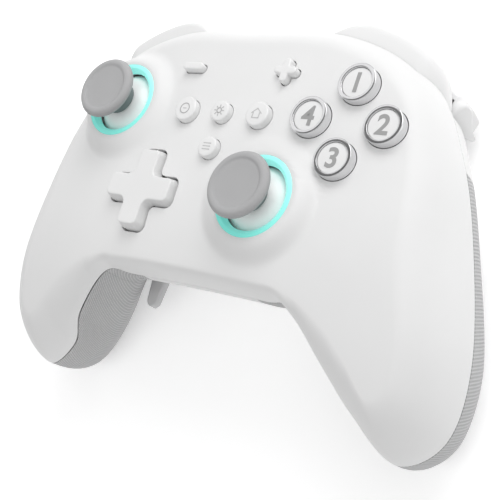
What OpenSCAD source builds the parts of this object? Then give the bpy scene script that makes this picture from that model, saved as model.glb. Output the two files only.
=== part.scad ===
// Gamepad controller with two thumb sticks, a cross pad, face buttons, bumpers, triggers and back paddles.
// Millimetres. X runs to the player's right, Y away from the player, Z up from the table that it lies on.
// The pieces are drawn on the face, where Z is 0, and seat() then lays the whole part on the table.

/* [Body] */
// width over both handles
body_w = 154.8; // [152:0.2:158]
// length from the handle tips to the top edge
body_l = 107.5; // [105:0.5:110]
// wall of the shells and grips
wall = 2; // [1.8:0.1:2.3]
// depth of the handles below the face
handle_d = 52; // [50:0.5:54]
// depth of the middle below the face
middle_d = 28.6; // [28:0.2:30]
// further depth of the battery bulge
bulge_d = 8; // [7:0.25:9]
// slope of the face when the part lies on a table, in degrees
tilt = 12.5; // [11:0.25:13]

/* [Sticks] */
// left stick, across
left_stick_x = -39; // [-40:0.25:-38]
// left stick, along
left_stick_y = 12; // [11.5:0.25:12.5]
// right stick, across
right_stick_x = 20; // [19:0.25:21]
// right stick, along
right_stick_y = -12.6; // [-13.2:0.2:-12]
// outside radius of the light ring
ring_r = 11.7; // [11.5:0.05:11.9]
// band width of the light ring
ring_w = 2.1; // [1.8:0.1:2.2]
// height of the light ring above the face
ring_z = 1.9; // [1.7:0.1:2.1]
// radius of the stick cap
cap_r = 9.3; // [9:0.1:9.5]
// height of the cap above its light ring
cap_rise = 8.4; // [8.2:0.1:8.8]
// radius of the dome under the cap
dome_r = 12.4; // [12.3:0.05:12.5]

/* [Buttons] */
// face cluster, across
face_x = 39; // [38.5:0.25:39.5]
// face cluster, along
face_y = 11.5; // [11:0.25:12]
// middle of the cluster to each face button
face_pitch = 10.7; // [10.6:0.1:11]
// radius of a face button
face_r = 5.5; // [5.2:0.05:5.5]
// height of a face button above the face
face_rise = 2.6; // [2.2:0.1:3]
// travel of a face button
face_travel = 1.4; // [1:0.1:1.6]
// cross pad, across
dpad_x = -20; // [-20.6:0.1:-19.4]
// cross pad, along
dpad_y = -14.3; // [-14.8:0.1:-13.8]
// middle of the cross to the end of an arm
dpad_l = 12; // [11.6:0.1:12.4]
// width of an arm
dpad_w = 8.2; // [7.8:0.1:8.4]
// height of the cross above the face
dpad_rise = 2.1; // [1.8:0.1:2.4]
// spacing of the row of small buttons
small_pitch = 12.7; // [12.2:0.1:13.2]
// radius of the two larger small buttons
small_r = 3.7; // [3.4:0.1:3.9]
// radius of the two lesser small buttons
lesser_r = 3.1; // [2.8:0.1:3.3]
// height of the small buttons above the face
small_rise = 2.3; // [1.8:0.1:2.6]
// middle to the minus and plus buttons
sign_x = 16.3; // [16:0.1:16.6]
// length of the minus and plus bars
sign_l = 7.2; // [6.8:0.1:7.4]
// width of the minus and plus bars
sign_w = 2.4; // [2.2:0.1:2.6]

/* [Shoulders] */
// how far a bumper stands out of the body
bumper_out = 4.3; // [3.8:0.1:4.6]
// top of a bumper below the edge of the face
bumper_drop = 4.6; // [4.4:0.1:5]
// angle of the trigger hinge to the width
trigger_turn = 30; // [29:0.5:31]
// reach of a trigger from its hinge
trigger_out = 6.4; // [6:0.1:7]
// length of a trigger
trigger_l = 33.5; // [32.5:0.5:34]
// trigger shaft radius
trigger_shaft_r = 1.5; // [1.4:0.05:1.6]

/* [Paddles] */
// paddle hinge, across
paddle_x = 37; // [36.5:0.25:37.5]
// radius of the paddle tip
paddle_tip_r = 2.4; // [2.2:0.1:2.8]
// length of a paddle from hinge to tip
paddle_l = 28.8; // [28:0.2:29.6]
// paddle pin radius
paddle_pin_r = 1; // [0.9:0.05:1.1]

/* [Inside] */
// thickness of the main board
board_t = 1.6; // [1.2:0.2:1.6]
// length of the battery across
battery_l = 36; // [32:1:38]
// thickness of the battery
battery_t = 7; // [6:0.25:7.5]
// radius of a rumble motor
motor_r = 6; // [5.5:0.1:6.4]
// radius of a rumble weight
weight_r = 8; // [7:0.1:8.4]
// running clearance of shafts
fit = 0.05; // [0.04:0.01:0.08]
// clearance around moving pieces
gap = 0.35; // [0.3:0.05:0.4]

/* [Hidden] */
sub = 4;
ribs_round = 24;
count = ribs_round * sub;
half = count / 2;
kx = body_w / 154.8;
ky = body_l / 107.5;
crown = 6.2;
face_drop = 12.3;
board_z = -16;
pivot_z = -9.6;
plunger_z = -11.3;
joint_z = -20;
handle_joint_z = -30;
dpad_pivot_z = -4.2;
bumper_low = -15.5;
bumper_pin_x = 25 * kx;
bumper_pin_y = 33.5 * ky;
bumper_pin_r = 1.25;
hinge_v = -1;
hinge_z = -18.5;
trigger_mid = [44 * kx, 32.25 * ky];
grip_dir = [0.853, -0.52];
grip_edge = [[97.2, 57.2], [48.3, -23], [35.6, -34.8], [27, -45], [27, -100], [160, -100], [160, 57.2]];
paddle_y = 20 - 29 * ky;
paddle_z = -middle_d - 2.4;
switch_z = paddle_z + 2.4;
switch_y = paddle_y - 13;
motor_x = 60 * kx;
motor_z = -29;
ring_in = ring_r - ring_w;
white = [0.93, 0.93, 0.93];
grey = [0.62, 0.63, 0.64];
dark = [0.16, 0.17, 0.18];
metal = [0.78, 0.79, 0.8];
rubber = [0.42, 0.44, 0.46];
aqua = [0.42, 0.92, 0.86];
green = [0.1, 0.36, 0.24];

// Each row is one section of the right half, from the top middle clockwise to the bottom middle:
// outline x and y, spine x and y, height of the seam, roll of the front edge, roll of the back edge.
rib_rows = [
    [0, 41, 0, 2, -12, 8.5, 12],
    [29.5, 40.5, 26, 1, -12, 8.5, 12],
    [53, 30.5, 41, -2, -13.5, 10, 13.5],
    [65.5, 11, 49, -9, -17, 12.5, 15],
    [72, -10.2, 54, -22, -23.7, 13.9, 17],
    [77.3, -37.9, 58.5, -37, -30.2, 12.4, 16],
    [74.7, -57.4, 61.5, -46.5, -34.6, 12.2, 16],
    [63.7, -66.3, 58, -46, -34.2, 11.7, 15],
    [52, -58.6, 54, -34, -29.3, 11.5, 15],
    [44.9, -50, 45, -15, -19.3, 10, 14],
    [33.2, -37.5, 30, -6, -11.6, 3.6, 13],
    [23.5, -36.2, 21, -3, -14, 3, 12.5],
    [0, -36, 0, -2, -13.8, 3, 12.5]
];

function scaled(r) = [r[0] * kx, r[1] * ky, r[2] * kx, r[3] * ky, r[4], r[5], r[6]];
function mirrored(r) = [-r[0], r[1], -r[2], r[3], r[4], r[5], r[6]];
function row(k) = scaled(k <= 12 ? rib_rows[k] : mirrored(rib_rows[ribs_round - k]));
function rib(i) = row((i + ribs_round) % ribs_round);
function cubic(a, b, c, d, t) =
    0.5 * (2 * b + (c - a) * t + (2 * a - 5 * b + 4 * c - d) * t * t + (3 * b - a - 3 * c + d) * t * t * t);
function station(i) =
    let (k = floor(i), t = i - k)
    cubic(rib(k - 1), rib(k), rib(k + 1), rib(k + 2), t);
loop = [for (m = [0:count - 1]) station(m / sub)];

function soft(t) = let (u = min(max(t, 0), 1)) u * u * (3 - 2 * u);
function face_z(x, y) =
    let (w = max(-y - 8.6, 0) / 52)
    -face_drop * w * w - crown * pow(x / 70, 2);
function back_z(x, y) =
    let (w = soft((abs(x) - 25) / 35), along = 0.25 + 0.75 * soft((9.6 - y) / 52))
    let (bulge = bulge_d * soft((38 - abs(x)) / 18) * soft((y + 20) / 20), tip = max(-y - 35, 0) / 39)
    -middle_d - (handle_d - middle_d) * w * along - bulge - 5 * tip * tip;
function roll(q, n) = 1 - pow(1 - pow(1 - q, n), 1 / n);

// A point of the skin: r is the section, k the level, in how far the skin lies inside the outer one.
function skin(r, k, in, front) =
    let (o = [r[0], r[1]], s = [r[2], r[3]], full = norm(s - o), u = (s - o) / full)
    let (reach = min(front ? r[5] : r[6], full * 0.93) - in * 0.7, room = full - in)
    let (d = k <= 1 ? reach * k : reach + (room - reach) * (k - 1), p = o + u * (in + d))
    let (z = front ? face_z(p[0], p[1]) - in : back_z(p[0], p[1]) + in)
    [p[0], p[1], z + (r[4] - z) * roll(min(d / reach, 1), front ? 1.83 : 2.5)];

outer_levels = [0, 0.05, 0.19, 0.48, 1, 1.5, 2];
inner_levels = [0, 0.3, 1, 1.5, 2];

function sheet(levels, in, front) = [for (k = levels) for (r = loop) skin(r, k, in, front)];
function at(j, m) = j * count + m % count;
function band(rows, first) = [
    for (j = [first:first + rows - 2]) for (m = [0:count - 1])
        each [[at(j, m), at(j, m + 1), at(j + 1, m + 1)], [at(j, m), at(j + 1, m + 1), at(j + 1, m)]]
];
// The lid closes the strip between the two sides of the spine, out to the handle tips.
upper_steps = 6.5 * sub;
lower_steps = 5.5 * sub;
function partner(n) = round(n * lower_steps / upper_steps);
function lid_half(upper, lower) = [
    for (n = [0:upper_steps - 1])
        let (a = upper[n], b = upper[n + 1], c = lower[partner(n)], d = lower[partner(n + 1)])
        each c == d || b == d ? [[a, b, c]] : [[a, b, c], [b, d, c]]
];
function lid(j) =
    let (right_up = [for (n = [0:upper_steps]) at(j, n)])
    let (right_low = [for (n = [0:lower_steps]) at(j, half - n)])
    let (left_up = [for (n = [0:upper_steps]) at(j, count - n)])
    let (left_low = [for (n = [0:lower_steps]) at(j, half + n)])
    concat(lid_half(right_up, right_low), turned(lid_half(left_up, left_low)));
function turned(faces) = [for (f = faces) [f[0], f[2], f[1]]];
function rim(a, b) = [
    for (m = [0:count - 1])
        each [[at(a, m), at(b, m), at(b, m + 1)], [at(a, m), at(b, m + 1), at(a, m + 1)]]
];

// A hollow skin with the wall of the shells, front or back.
module hollow_skin(front) {
    no = len(outer_levels);
    ni = len(inner_levels);
    points = concat(sheet(outer_levels, 0, front), sheet(inner_levels, wall, front));
    out = concat(band(no, 0), lid(no - 1));
    inside = concat(band(ni, no), lid(no + ni - 1));
    faces = concat(out, turned(inside), rim(0, no));
    polyhedron(points, front ? faces : turned(faces), 4);
}

// The whole body as one solid, a little inside the skin, to trim bosses and ribs.
// Both halves share the points of the seam, which are the first row.
module body_core(in) {
    n = len(inner_levels);
    low_levels = [for (k = [1:n - 1]) inner_levels[k]];
    points = concat(sheet(inner_levels, in, true), sheet(low_levels, in, false));
    front = concat(band(n, 0), lid(n - 1));
    first = [
        for (m = [0:count - 1])
            each [[at(0, m), at(0, m + 1), at(n, m + 1)], [at(0, m), at(n, m + 1), at(n, m)]]
    ];
    back = concat(first, band(n - 1, n), lid(2 * n - 2));
    polyhedron(points, concat(front, turned(back)), 4);
}

// Lays the part on the table: the lowest points of the back come to Z 0.
function settled(p) = p[2] * cos(tilt) - p[1] * sin(tilt);
low_z = min([for (r = loop) for (k = outer_levels) settled(skin(r, k, 0, false))]);
seat_y = 16.02;
module seat() {
    translate([0, seat_y, -low_z])
        rotate([-tilt, 0, 0])
            children();
}
module sided(right) {
    if (right) {
        children();
    } else {
        mirror([1, 0, 0]) children();
    }
}

module bar(l, w, low, high) {
    hull() {
        for (s = [-1, 1]) {
            translate([s * (l - w) / 2, 0, low]) cylinder(h = high - low, r = w / 2, $fn = 24);
        }
    }
}
module arm(l, w, r, low, high) {
    hull() {
        for (a = [-1, 1]) {
            for (b = [-1, 1]) {
                translate([a * (l / 2 - r), b * (w / 2 - r), low]) cylinder(h = high - low, r = r, $fn = 20);
            }
        }
    }
}
module tube_z(r, low, high, sides = 32) {
    translate([0, 0, low]) cylinder(h = high - low, r = r, $fn = sides);
}
module block(low, high) {
    translate(low) cube(high - low);
}

left_stick = [left_stick_x, left_stick_y];
right_stick = [right_stick_x, right_stick_y];
face_at = [for (a = [90, 0, -90, 180]) [face_x, face_y] + face_pitch * [cos(a), sin(a)]];
small_row_y = 10.6;
small_at = [[-small_pitch - 0.5, small_row_y], [-0.5, small_row_y], [small_pitch - 0.5, small_row_y], [-0.5, -0.3]];
small_rs = [small_r, lesser_r, small_r, lesser_r];
sign_y = 24.2;
case_at = [[33 * kx, -29 * ky], [25 * kx, 27.5 * ky]];
handle_screw = [65 * kx, -56 * ky];

function face_top(p) = face_z(p[0], p[1]) + face_rise;
function face_stop(p) = face_z(p[0], p[1]) - wall - 2.6;
function stop_z(p) = face_z(p[0], p[1]) - wall - gap;

// Height of the front skin at a place, with the roll of its edge at the nearest section.
function skin_z(p) =
    let (away = [for (r = loop) norm(p - [r[0], r[1]])], d = min(away), r = loop[search(d, away)[0]])
    let (f = face_z(p[0], p[1]))
    f + (r[4] - f) * roll(min(d / r[5], 1), 1.83);

// A raised collar around a stick: its rim is level and its foot runs out into the face.
module collar(c) {
    turns = 28;
    steps = [0, 0.12, 0.28, 0.5, 0.75, 1];
    in_r = ring_in - 1;
    rim_r = ring_r + 0.6;
    rim_z = ring_z - 0.15;
    foot = 7;
    points = [
        for (a = [0:turns - 1])
            let (w = [cos(a * 360 / turns), sin(a * 360 / turns)], low = skin_z(c + w * (rim_r + foot)) - 0.25)
            let (i = c + in_r * w)
            each concat(
                [[i[0], i[1], skin_z(c + 13 * w) - wall * 0.35], [i[0], i[1], rim_z]],
                [for (t = steps)
                    let (p = c + w * (rim_r + foot * t))
                    [p[0], p[1], low + (rim_z - low) * pow(1 - t, 2.1)]],
                [[c[0] + (rim_r + foot) * w[0], c[1] + (rim_r + foot) * w[1], low - wall * 0.3]])
    ];
    n = len(steps) + 3;
    faces = [
        for (a = [0:turns - 1]) for (k = [0:n - 1])
            let (b = (a + 1) % turns, i = a * n + k, j = a * n + (k + 1) % n)
            let (x = b * n + k, y = b * n + (k + 1) % n)
            each [[i, x, y], [i, y, j]]
    ];
    polyhedron(points, faces, 4);
}

module bumper_sections(first, last, in, out, up, low, taper) {
    n = taper ? 12 : 8;
    section = function(i)
        let (t = i / n, r = station(first + (last - first) * t))
        let (o = [r[0], r[1]], u = unit(o - [r[2], r[3]]), top = face_z(o[0], o[1]) - bumper_drop + up)
        let (e = taper ? 1 - pow(abs(2 * t - 1), 5) * 0.9 : 1, w = out * e)
        [for (q = [[-in, top], [w - 1.8 * e, top], [w - 0.5, top - 1.1 * e], [w, top - 3 * e],
                   [w, low + 2.2], [w - 0.6, low + 0.7], [w - 1.8, low], [-in, low]])
            [o[0] + u[0] * q[0], o[1] + u[1] * q[0], q[1]]];
    points = [for (i = [0:n]) each section(i)];
    sides = [
        for (i = [0:n - 1]) for (k = [0:7])
            let (a = i * 8 + k, b = i * 8 + (k + 1) % 8)
            each [[a, b, b + 8], [a, b + 8, a + 8]]
    ];
    ends = concat([for (k = [1:6]) [0, k + 1, k]], [for (k = [1:6]) [n * 8, n * 8 + k, n * 8 + k + 1]]);
    polyhedron(points, concat(sides, ends), 4);
}
function unit(v) = v / norm(v);

module trigger_place() {
    translate([trigger_mid[0], trigger_mid[1], 0])
        rotate([0, 0, -trigger_turn])
            children();
}
// Turns an upright profile so that it runs along the trigger's hinge.
module along_hinge(from, to) {
    translate([from, 0, 0])
        rotate([90, 0, 90])
            linear_extrude(to - from)
                children();
}
module hinge_rod(r, from, to, sides = 32) {
    translate([from, hinge_v, hinge_z])
        rotate([0, 90, 0])
            cylinder(h = to - from, r = r, $fn = sides);
}

// The front shell carries the face, the collars, the button guides and the screw bosses.
module front_shell() {
    color(white) seat() difference() {
        union() {
            difference() {
                union() {
                    hollow_skin(true);
                    for (c = [left_stick, right_stick]) {
                        collar(c);
                    }
                    for (p = face_at) {
                        translate([p[0], p[1], 0])
                            tube_z(face_r + gap + 1.2, face_stop(p), face_z(p[0], p[1]) - wall * 0.6, 20);
                    }
                }
                for (c = [left_stick, right_stick]) {
                    translate([c[0], c[1], 0]) {
                        tube_z(ring_in + gap, -8, ring_z + 2, 36);
                        tube_z(ring_r + 0.06, ring_z - 2.2, ring_z + 2, 36);
                    }
                    translate([c[0], c[1], 0]) dome_room();
                }
            }
            intersection() {
                union() {
                    for (s = [-1, 1]) {
                        for (p = case_at) {
                            translate([s * p[0], p[1], 0]) tube_z(3.4, joint_z, 0, 14);
                        }
                        translate([s * handle_screw[0], handle_screw[1], 0]) tube_z(4, handle_joint_z, 0, 14);
                    }
                }
                body_core(wall * 0.5);
            }
        }
        for (p = face_at) {
            translate([p[0], p[1], 0]) tube_z(face_r + gap + 0.05, -16, 4, 20);
        }
        for (k = [0:3]) {
            translate([small_at[k][0], small_at[k][1], 0]) tube_z(small_rs[k] + gap, -8, 4, 20);
        }
        translate([dpad_x, dpad_y, 0]) {
            arm(2 * (dpad_l + 0.6), dpad_w + 1.2, 2.6, -8, 4);
            rotate(90) arm(2 * (dpad_l + 0.6), dpad_w + 1.2, 2.6, -8, 4);
            for (a = [0, 90, 180, 270]) {
                rotate(a) dpad_web(0.6, -8, 4);
            }
        }
        translate([-sign_x * kx, sign_y, 0]) bar(sign_l + 2 * gap, sign_w + 2 * gap, -8, 4);
        translate([sign_x * kx, sign_y, 0]) {
            bar(sign_l + 2 * gap, sign_w + 2 * gap, -8, 4);
            rotate(90) bar(sign_l + 2 * gap, sign_w + 2 * gap, -8, 4);
        }
        for (s = [0, 1]) {
            sided(s == 1) bumper_sections(0.7, 2.445, 7.6, 9, 0.45, -30, false);
        }
        for (s = [-1, 1]) {
            for (p = case_at) {
                translate([s * p[0], p[1], 0]) tube_z(1.3, joint_z - 1, -11, 16);
            }
            translate([s * handle_screw[0], handle_screw[1], 0]) tube_z(1.3, handle_joint_z - 1, -21, 16);
        }
        usb_opening();
    }
}

// Room under a collar for the dome at every tilt.
module dome_room() {
    r = dome_r + 0.5;
    rotate_extrude($fn = 28)
        polygon([[0, -12], [r + 0.3, -12], [r + 0.3, -5.6], [r - 1.3, -3], [r - 3.3, -1], [0, -1]]);
}

// The fillet in each inner corner of the cross.
module dpad_web(more, low, high) {
    c = dpad_w / 2 + more;
    hull() {
        translate([c - 0.6, c - 0.6, low]) cube([0.6, 0.6, high - low]);
        translate([c, c - 0.1, low]) cube([1.6, 0.1, high - low]);
        translate([c - 0.1, c, low]) cube([0.1, 1.6, high - low]);
    }
}

module usb_opening() {
    translate([0, 36 * ky, board_z + 1.6])
        rotate([-90, 0, 0])
            bar(10.4, 4.4, 0, 12);
}

module grip_zone(side, more) {
    translate([-side * more * grip_dir[0], -more * grip_dir[1], -80])
        linear_extrude(100)
            polygon([for (p = grip_edge) [side * p[0] * kx, p[1] * ky]]);
}

// A column for a screw from the back, with room for its head.
module back_column(p, top) {
    turn = p[0] > 0 ? 135 : 45;
    translate([p[0], p[1], 0]) tube_z(4.2, -60, top, 14);
    for (a = [turn, turn + 180]) {
        hull() {
            translate([p[0], p[1], -60]) cylinder(h = 60 + top - 2, r = 0.6, $fn = 8);
            translate([p[0] + 6 * cos(a), p[1] + 6 * sin(a), -60]) cylinder(h = 60 + top - 5, r = 0.6, $fn = 8);
        }
    }
}
module back_hole(p, top, head) {
    translate([p[0], p[1], 0]) {
        tube_z(1.5, -60, top + 1, 14);
        tube_z(2.8, -60, head, 16);
    }
}

// The back shell closes the middle and carries the battery, the paddle hinges and the screw columns.
module back_shell() {
    color(white) seat() difference() {
        union() {
            difference() {
                hollow_skin(false);
                for (s = [-1, 1]) {
                    grip_zone(s, 0);
                }
            }
            intersection() {
                difference() {
                    union() {
                        for (s = [-1, 1]) {
                            for (p = case_at) {
                                back_column([s * p[0], p[1]], joint_z);
                            }
                        }
                        for (s = [0, 1]) {
                            sided(s == 1) {
                                block([paddle_x - 7.6, paddle_y - 9.6, -60], [paddle_x + 7.6, paddle_y + 5, paddle_z + 4.4]);
                                block([paddle_x - 4.6, switch_y - 3, -60], [paddle_x + 1.6, switch_y + 3, switch_z]);
                            }
                            for (a = [0, 1]) {
                                sided(s == 1) translate([battery_l / 4 + a, 0, -60]) cube([1.2, 1.4, 60 - 26]);
                            }
                        }
                    }
                    for (s = [-1, 1]) {
                        grip_zone(s, 0);
                    }
                }
                body_core(wall * 0.5);
            }
        }
        for (s = [-1, 1]) {
            back_hole([s * case_at[0][0], case_at[0][1]], joint_z, -25);
            back_hole([s * case_at[1][0], case_at[1][1]], joint_z, -26);
        }
        for (s = [0, 1]) {
            sided(s == 1) {
                block([paddle_x - 6, paddle_y - 8.2, -60], [paddle_x + 6, paddle_y + 3.6, paddle_z + 3]);
                translate([paddle_x - 9, paddle_y, paddle_z])
                    rotate([0, 90, 0])
                        cylinder(h = 18, r = paddle_pin_r + 0.1, $fn = 24);
                translate([paddle_x - 1.5, switch_y, 0]) tube_z(1.5, -60, -20, 16);
                trigger_place() block([-17, -5.6, -60], [19.6, 60, -11.5]);
                bumper_sections(0.7, 2.445, 7.6, 30, 6, -17, false);
            }
        }
        usb_opening();
    }
}

// A grip covers one handle, holds the rumble motor and takes the handle screw.
module grip(side) {
    color(white) seat() difference() {
        union() {
            intersection() {
                hollow_skin(false);
                grip_zone(side, 0);
            }
            intersection() {
                union() {
                    back_column([side * handle_screw[0], handle_screw[1]], handle_joint_z);
                }
                body_core(wall * 0.5);
                grip_zone(side, -0.5);
            }
            intersection() {
                union() {
                    for (y = [-40 * ky, -34 * ky]) {
                        hull() {
                            translate([side * (motor_x - 7.2), y, -60]) cube([0.1, 1.6, 60 + motor_z]);
                            translate([side * (motor_x + 7.2), y, -60]) cube([0.1, 1.6, 60 + motor_z]);
                        }
                    }
                    for (a = [-1, 1]) {
                        for (y = [-40 * ky, -34 * ky]) {
                            hull() {
                                translate([side * motor_x + a * 5, y, -60]) cube([1, 1.6, 60 + motor_z - 3]);
                                translate([side * motor_x + a * 5, y - 2, -60]) cube([1, 5.6, 60 + motor_z - 12]);
                            }
                        }
                    }
                }
                body_core(wall * 0.5);
                grip_zone(side, -0.5);
            }
        }
        translate([side * motor_x, -60 * ky, motor_z]) rotate([-90, 0, 0]) tube_z(motor_r + 0.15, 0, 40, 32);
        back_hole([side * handle_screw[0], handle_screw[1]], handle_joint_z, -38);
    }
}
module left_grip() grip(-1);
module right_grip() grip(1);

// A light ring sits in the recess of its collar.
module light_ring(c) {
    color(aqua) seat() translate([c[0], c[1], ring_z]) rotate_extrude($fn = 48)
        polygon([
            [ring_in, -2.2], [ring_r, -2.2], [ring_r, -0.2], [ring_r - 0.2, 0],
            [ring_in + 0.9, 0], [ring_in, -0.7]
        ]);
}
module left_light_ring() light_ring(left_stick);
module right_light_ring() light_ring(right_stick);

// The main board clears the screw bosses and the shoulder brackets.
module main_board() {
    side = [[19, 38], [19, 29.3], [31, 29.3], [45, 22], [44.3, 20.8], [54, 15], [54, 6], [40, -22], [33, -25.1]];
    back = [for (k = [len(side) - 1:-1:0]) [-side[k][0], side[k][1]]];
    color(green) seat() translate([0, 0, board_z - board_t]) linear_extrude(board_t) difference() {
        polygon([for (p = concat(side, back)) [p[0] * kx, p[1] * ky]]);
        for (s = [-1, 1]) {
            translate([s * case_at[1][0], case_at[1][1]]) circle(4.4, $fn = 24);
        }
    }
}

// The battery lies in the bulge of the back.
module battery() {
    low = -middle_d - bulge_d + wall + 0.3;
    color(dark) seat() difference() {
        block([-battery_l / 2, 3, low], [battery_l / 2, 28, low + battery_t]);
        for (s = [-1, 1]) {
            translate([s * battery_l / 2, 15, low]) rotate([0, 45, 0]) cube([2, 40, 2], center = true);
        }
    }
}

// The charging socket stands on the board at the top edge.
module usb_socket() {
    color(metal) seat() difference() {
        translate([0, 33 * ky, board_z + 1.6]) rotate([-90, 0, 0]) bar(9, 3.2, 0, 7.2);
        difference() {
            translate([0, 33 * ky + 1.2, board_z + 1.6]) rotate([-90, 0, 0]) bar(8.4, 2.6, 0, 8);
            block([-3.4, 33 * ky + 0.6, board_z + 1.25], [3.4, 33 * ky + 6.4, board_z + 1.95]);
        }
    }
}

module rubber_dome(p, r) {
    translate([p[0], p[1], board_z + 0.7])
        cylinder(h = plunger_z - gap - board_z - 0.7, r1 = r, r2 = r * 0.7, $fn = 20);
}
// One rubber sheet has the domes of the face buttons and of the small buttons.
module button_pad() {
    spots = concat(small_at, [[-sign_x * kx, sign_y], [sign_x * kx, sign_y]]);
    color(rubber) seat() {
        translate([0, 0, board_z]) linear_extrude(0.8)
            polygon([
                [-20.5, 26.5], [19.5, 26.5], [20.4, 23.2], [28.8, 23.2], [34, 26.5], [43.5, 21.5], [53, 13.5], [53, 7.5], [42, -2.4],
                [35, -2.4], [24.5, 7], [5, 7], [5, -4], [-5, -4], [-5, 6], [-20.5, 6]
            ]);
        for (p = face_at) {
            rubber_dome(p, 2.6);
        }
        for (p = spots) {
            rubber_dome(p, 2);
        }
    }
}
// A second sheet has the four domes of the cross pad.
module dpad_pad() {
    color(rubber) seat() translate([dpad_x, dpad_y, 0]) {
        difference() {
            block([-11.2, -11.2, board_z], [11.2, 11.2, board_z + 0.8]);
            block([-6.2, -4, board_z - 1], [6.2, 4, board_z + 2]);
        }
        for (a = [0, 90, 180, 270]) {
            rotate(a) rubber_dome([8.6, 0], 2.2);
        }
    }
}
// Two posts on the board carry the swivel of the cross pad.
module dpad_base() {
    color(dark) seat() translate([dpad_x, dpad_y, 0]) difference() {
        union() {
            block([-5.9, -3.4, board_z], [5.9, 3.4, board_z + 1.2]);
            for (s = [-1, 1]) {
                block([s * 4.9 - 1, -1.6, board_z], [s * 4.9 + 1, 1.6, dpad_pivot_z]);
                translate([s * 4.9 - 1, 0, dpad_pivot_z]) rotate([0, 90, 0]) cylinder(h = 2, r = 1.6, $fn = 32);
            }
        }
        translate([-8, 0, dpad_pivot_z]) rotate([0, 90, 0]) cylinder(h = 16, r = 1 + fit, $fn = 32);
    }
}

// The can of a rumble motor lies in the grip with its shaft hole towards the body.
module rumble_motor(side) {
    color(metal) seat() translate([side * motor_x, -48 * ky, motor_z]) rotate([-90, 0, 0]) difference() {
        union() {
            tube_z(motor_r, 0, 16.5, 40);
            tube_z(2.2, 16.5, 17.5, 24);
        }
        tube_z(1 + fit, 6, 20, 24);
    }
}
module left_rumble_motor() rumble_motor(-1);
module right_rumble_motor() rumble_motor(1);
// The eccentric weight turns with its shaft.
module rumble_weight(side) {
    color(metal) seat() translate([side * motor_x, -48 * ky, motor_z]) rotate([-90, 0, 0]) union() {
        tube_z(1, 6.4, 24, 24);
        tube_z(2.4, 18, 24, 24);
        difference() {
            tube_z(weight_r, 18, 24, 40);
            block([-10, -10, 17], [10, 0, 25]);
        }
    }
}
module left_rumble_weight() rumble_weight(-1);
module right_rumble_weight() rumble_weight(1);

// The base of a stick stands on the board and holds the yoke by two bores.
module stick_base(c) {
    low = board_z - pivot_z;
    color(dark) seat() translate([c[0], c[1], pivot_z]) difference() {
        union() {
            difference() {
                block([-7.2, -7.2, low], [7.2, 7.2, 2.6]);
                for (a = [45, 135, 225, 315]) {
                    rotate(a) translate([9.3, -6, low - 1]) cube([6, 12, 20]);
                }
            }
            block([-3, -10.2, low], [3, -6.5, low + 3.4]);
        }
        block([-6, -6, low + 1], [6, 6, 6]);
        translate([-12, 0, 0]) rotate([0, 90, 0]) cylinder(h = 24, r = 1.2 + fit, $fn = 32);
    }
}
module left_stick_base() stick_base(left_stick);
module right_stick_base() stick_base(right_stick);

// The yoke tips fore and aft in the base.
module stick_yoke(c) {
    color(grey) seat() translate([c[0], c[1], pivot_z]) difference() {
        union() {
            block([-4.8, -4.5, -1.7], [4.8, 4.5, 1.7]);
            translate([-7.1, 0, 0]) rotate([0, 90, 0]) cylinder(h = 14.2, r = 1.2, $fn = 32);
        }
        block([-3.6, -2.8, -5], [3.6, 2.8, 5]);
        translate([0, 8, 0]) rotate([90, 0, 0]) cylinder(h = 16, r = 1 + fit, $fn = 32);
    }
}
module left_stick_yoke() stick_yoke(left_stick);
module right_stick_yoke() stick_yoke(right_stick);

// The swivel tips sideways in the yoke and guides the stem.
module stick_swivel(c) {
    color(white) seat() translate([c[0], c[1], pivot_z]) difference() {
        union() {
            block([-2.5, -2.5, -2.2], [2.5, 2.5, 2.2]);
            translate([0, 4.3, 0]) rotate([90, 0, 0]) cylinder(h = 8.6, r = 1, $fn = 32);
        }
        tube_z(1.5 + fit, -5, 5, 32);
    }
}
module left_stick_swivel() stick_swivel(left_stick);
module right_stick_swivel() stick_swivel(right_stick);

// The stem with its dome, which covers the opening at every tilt.
module stick_stem(c) {
    arc = [for (a = [62:-6:20]) dome_r * [sin(a), cos(a)]];
    under = [for (a = [26:6:62]) (dome_r - 1.2) * [sin(a), cos(a)]];
    top = ring_z - pivot_z;
    color(white) seat() translate([c[0], c[1], pivot_z]) rotate_extrude($fn = 40)
        polygon(concat([[0, -3.2], [1.5, -3.2], [1.5, 6.5], [4.4, 9.4]], under, arc,
                       [[2.6, dome_r * cos(20) + 0.1], [2.6, top + 4], [0, top + 4]]));
}
module left_stick_stem() stick_stem(left_stick);
module right_stick_stem() stick_stem(right_stick);

// The cap is a mushroom with a dished top, pressed on the stem.
module stick_cap(c) {
    base = dome_r * cos(20) + pivot_z - ring_z + 0.15;
    z = cap_rise;
    r = cap_r;
    color(grey) seat() translate([c[0], c[1], ring_z]) rotate_extrude($fn = 48)
        polygon([
            [2.65, base], [4.9, base], [4.9, z - 4.2], [r - 2.2, z - 3.2], [r - 0.8, z - 2.6], [r - 0.15, z - 1.9],
            [r, z - 1.2], [r - 0.15, z - 0.55], [r - 0.7, z - 0.1], [r - 1.4, z], [r - 2, z - 0.15],
            [r - 2.4, z - 0.45], [r - 5, z - 0.6], [0, z - 0.65], [0, 4.1], [2.65, 4.1]
        ]);
}
module left_stick_cap() stick_cap(left_stick);
module right_stick_cap() stick_cap(right_stick);

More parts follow.
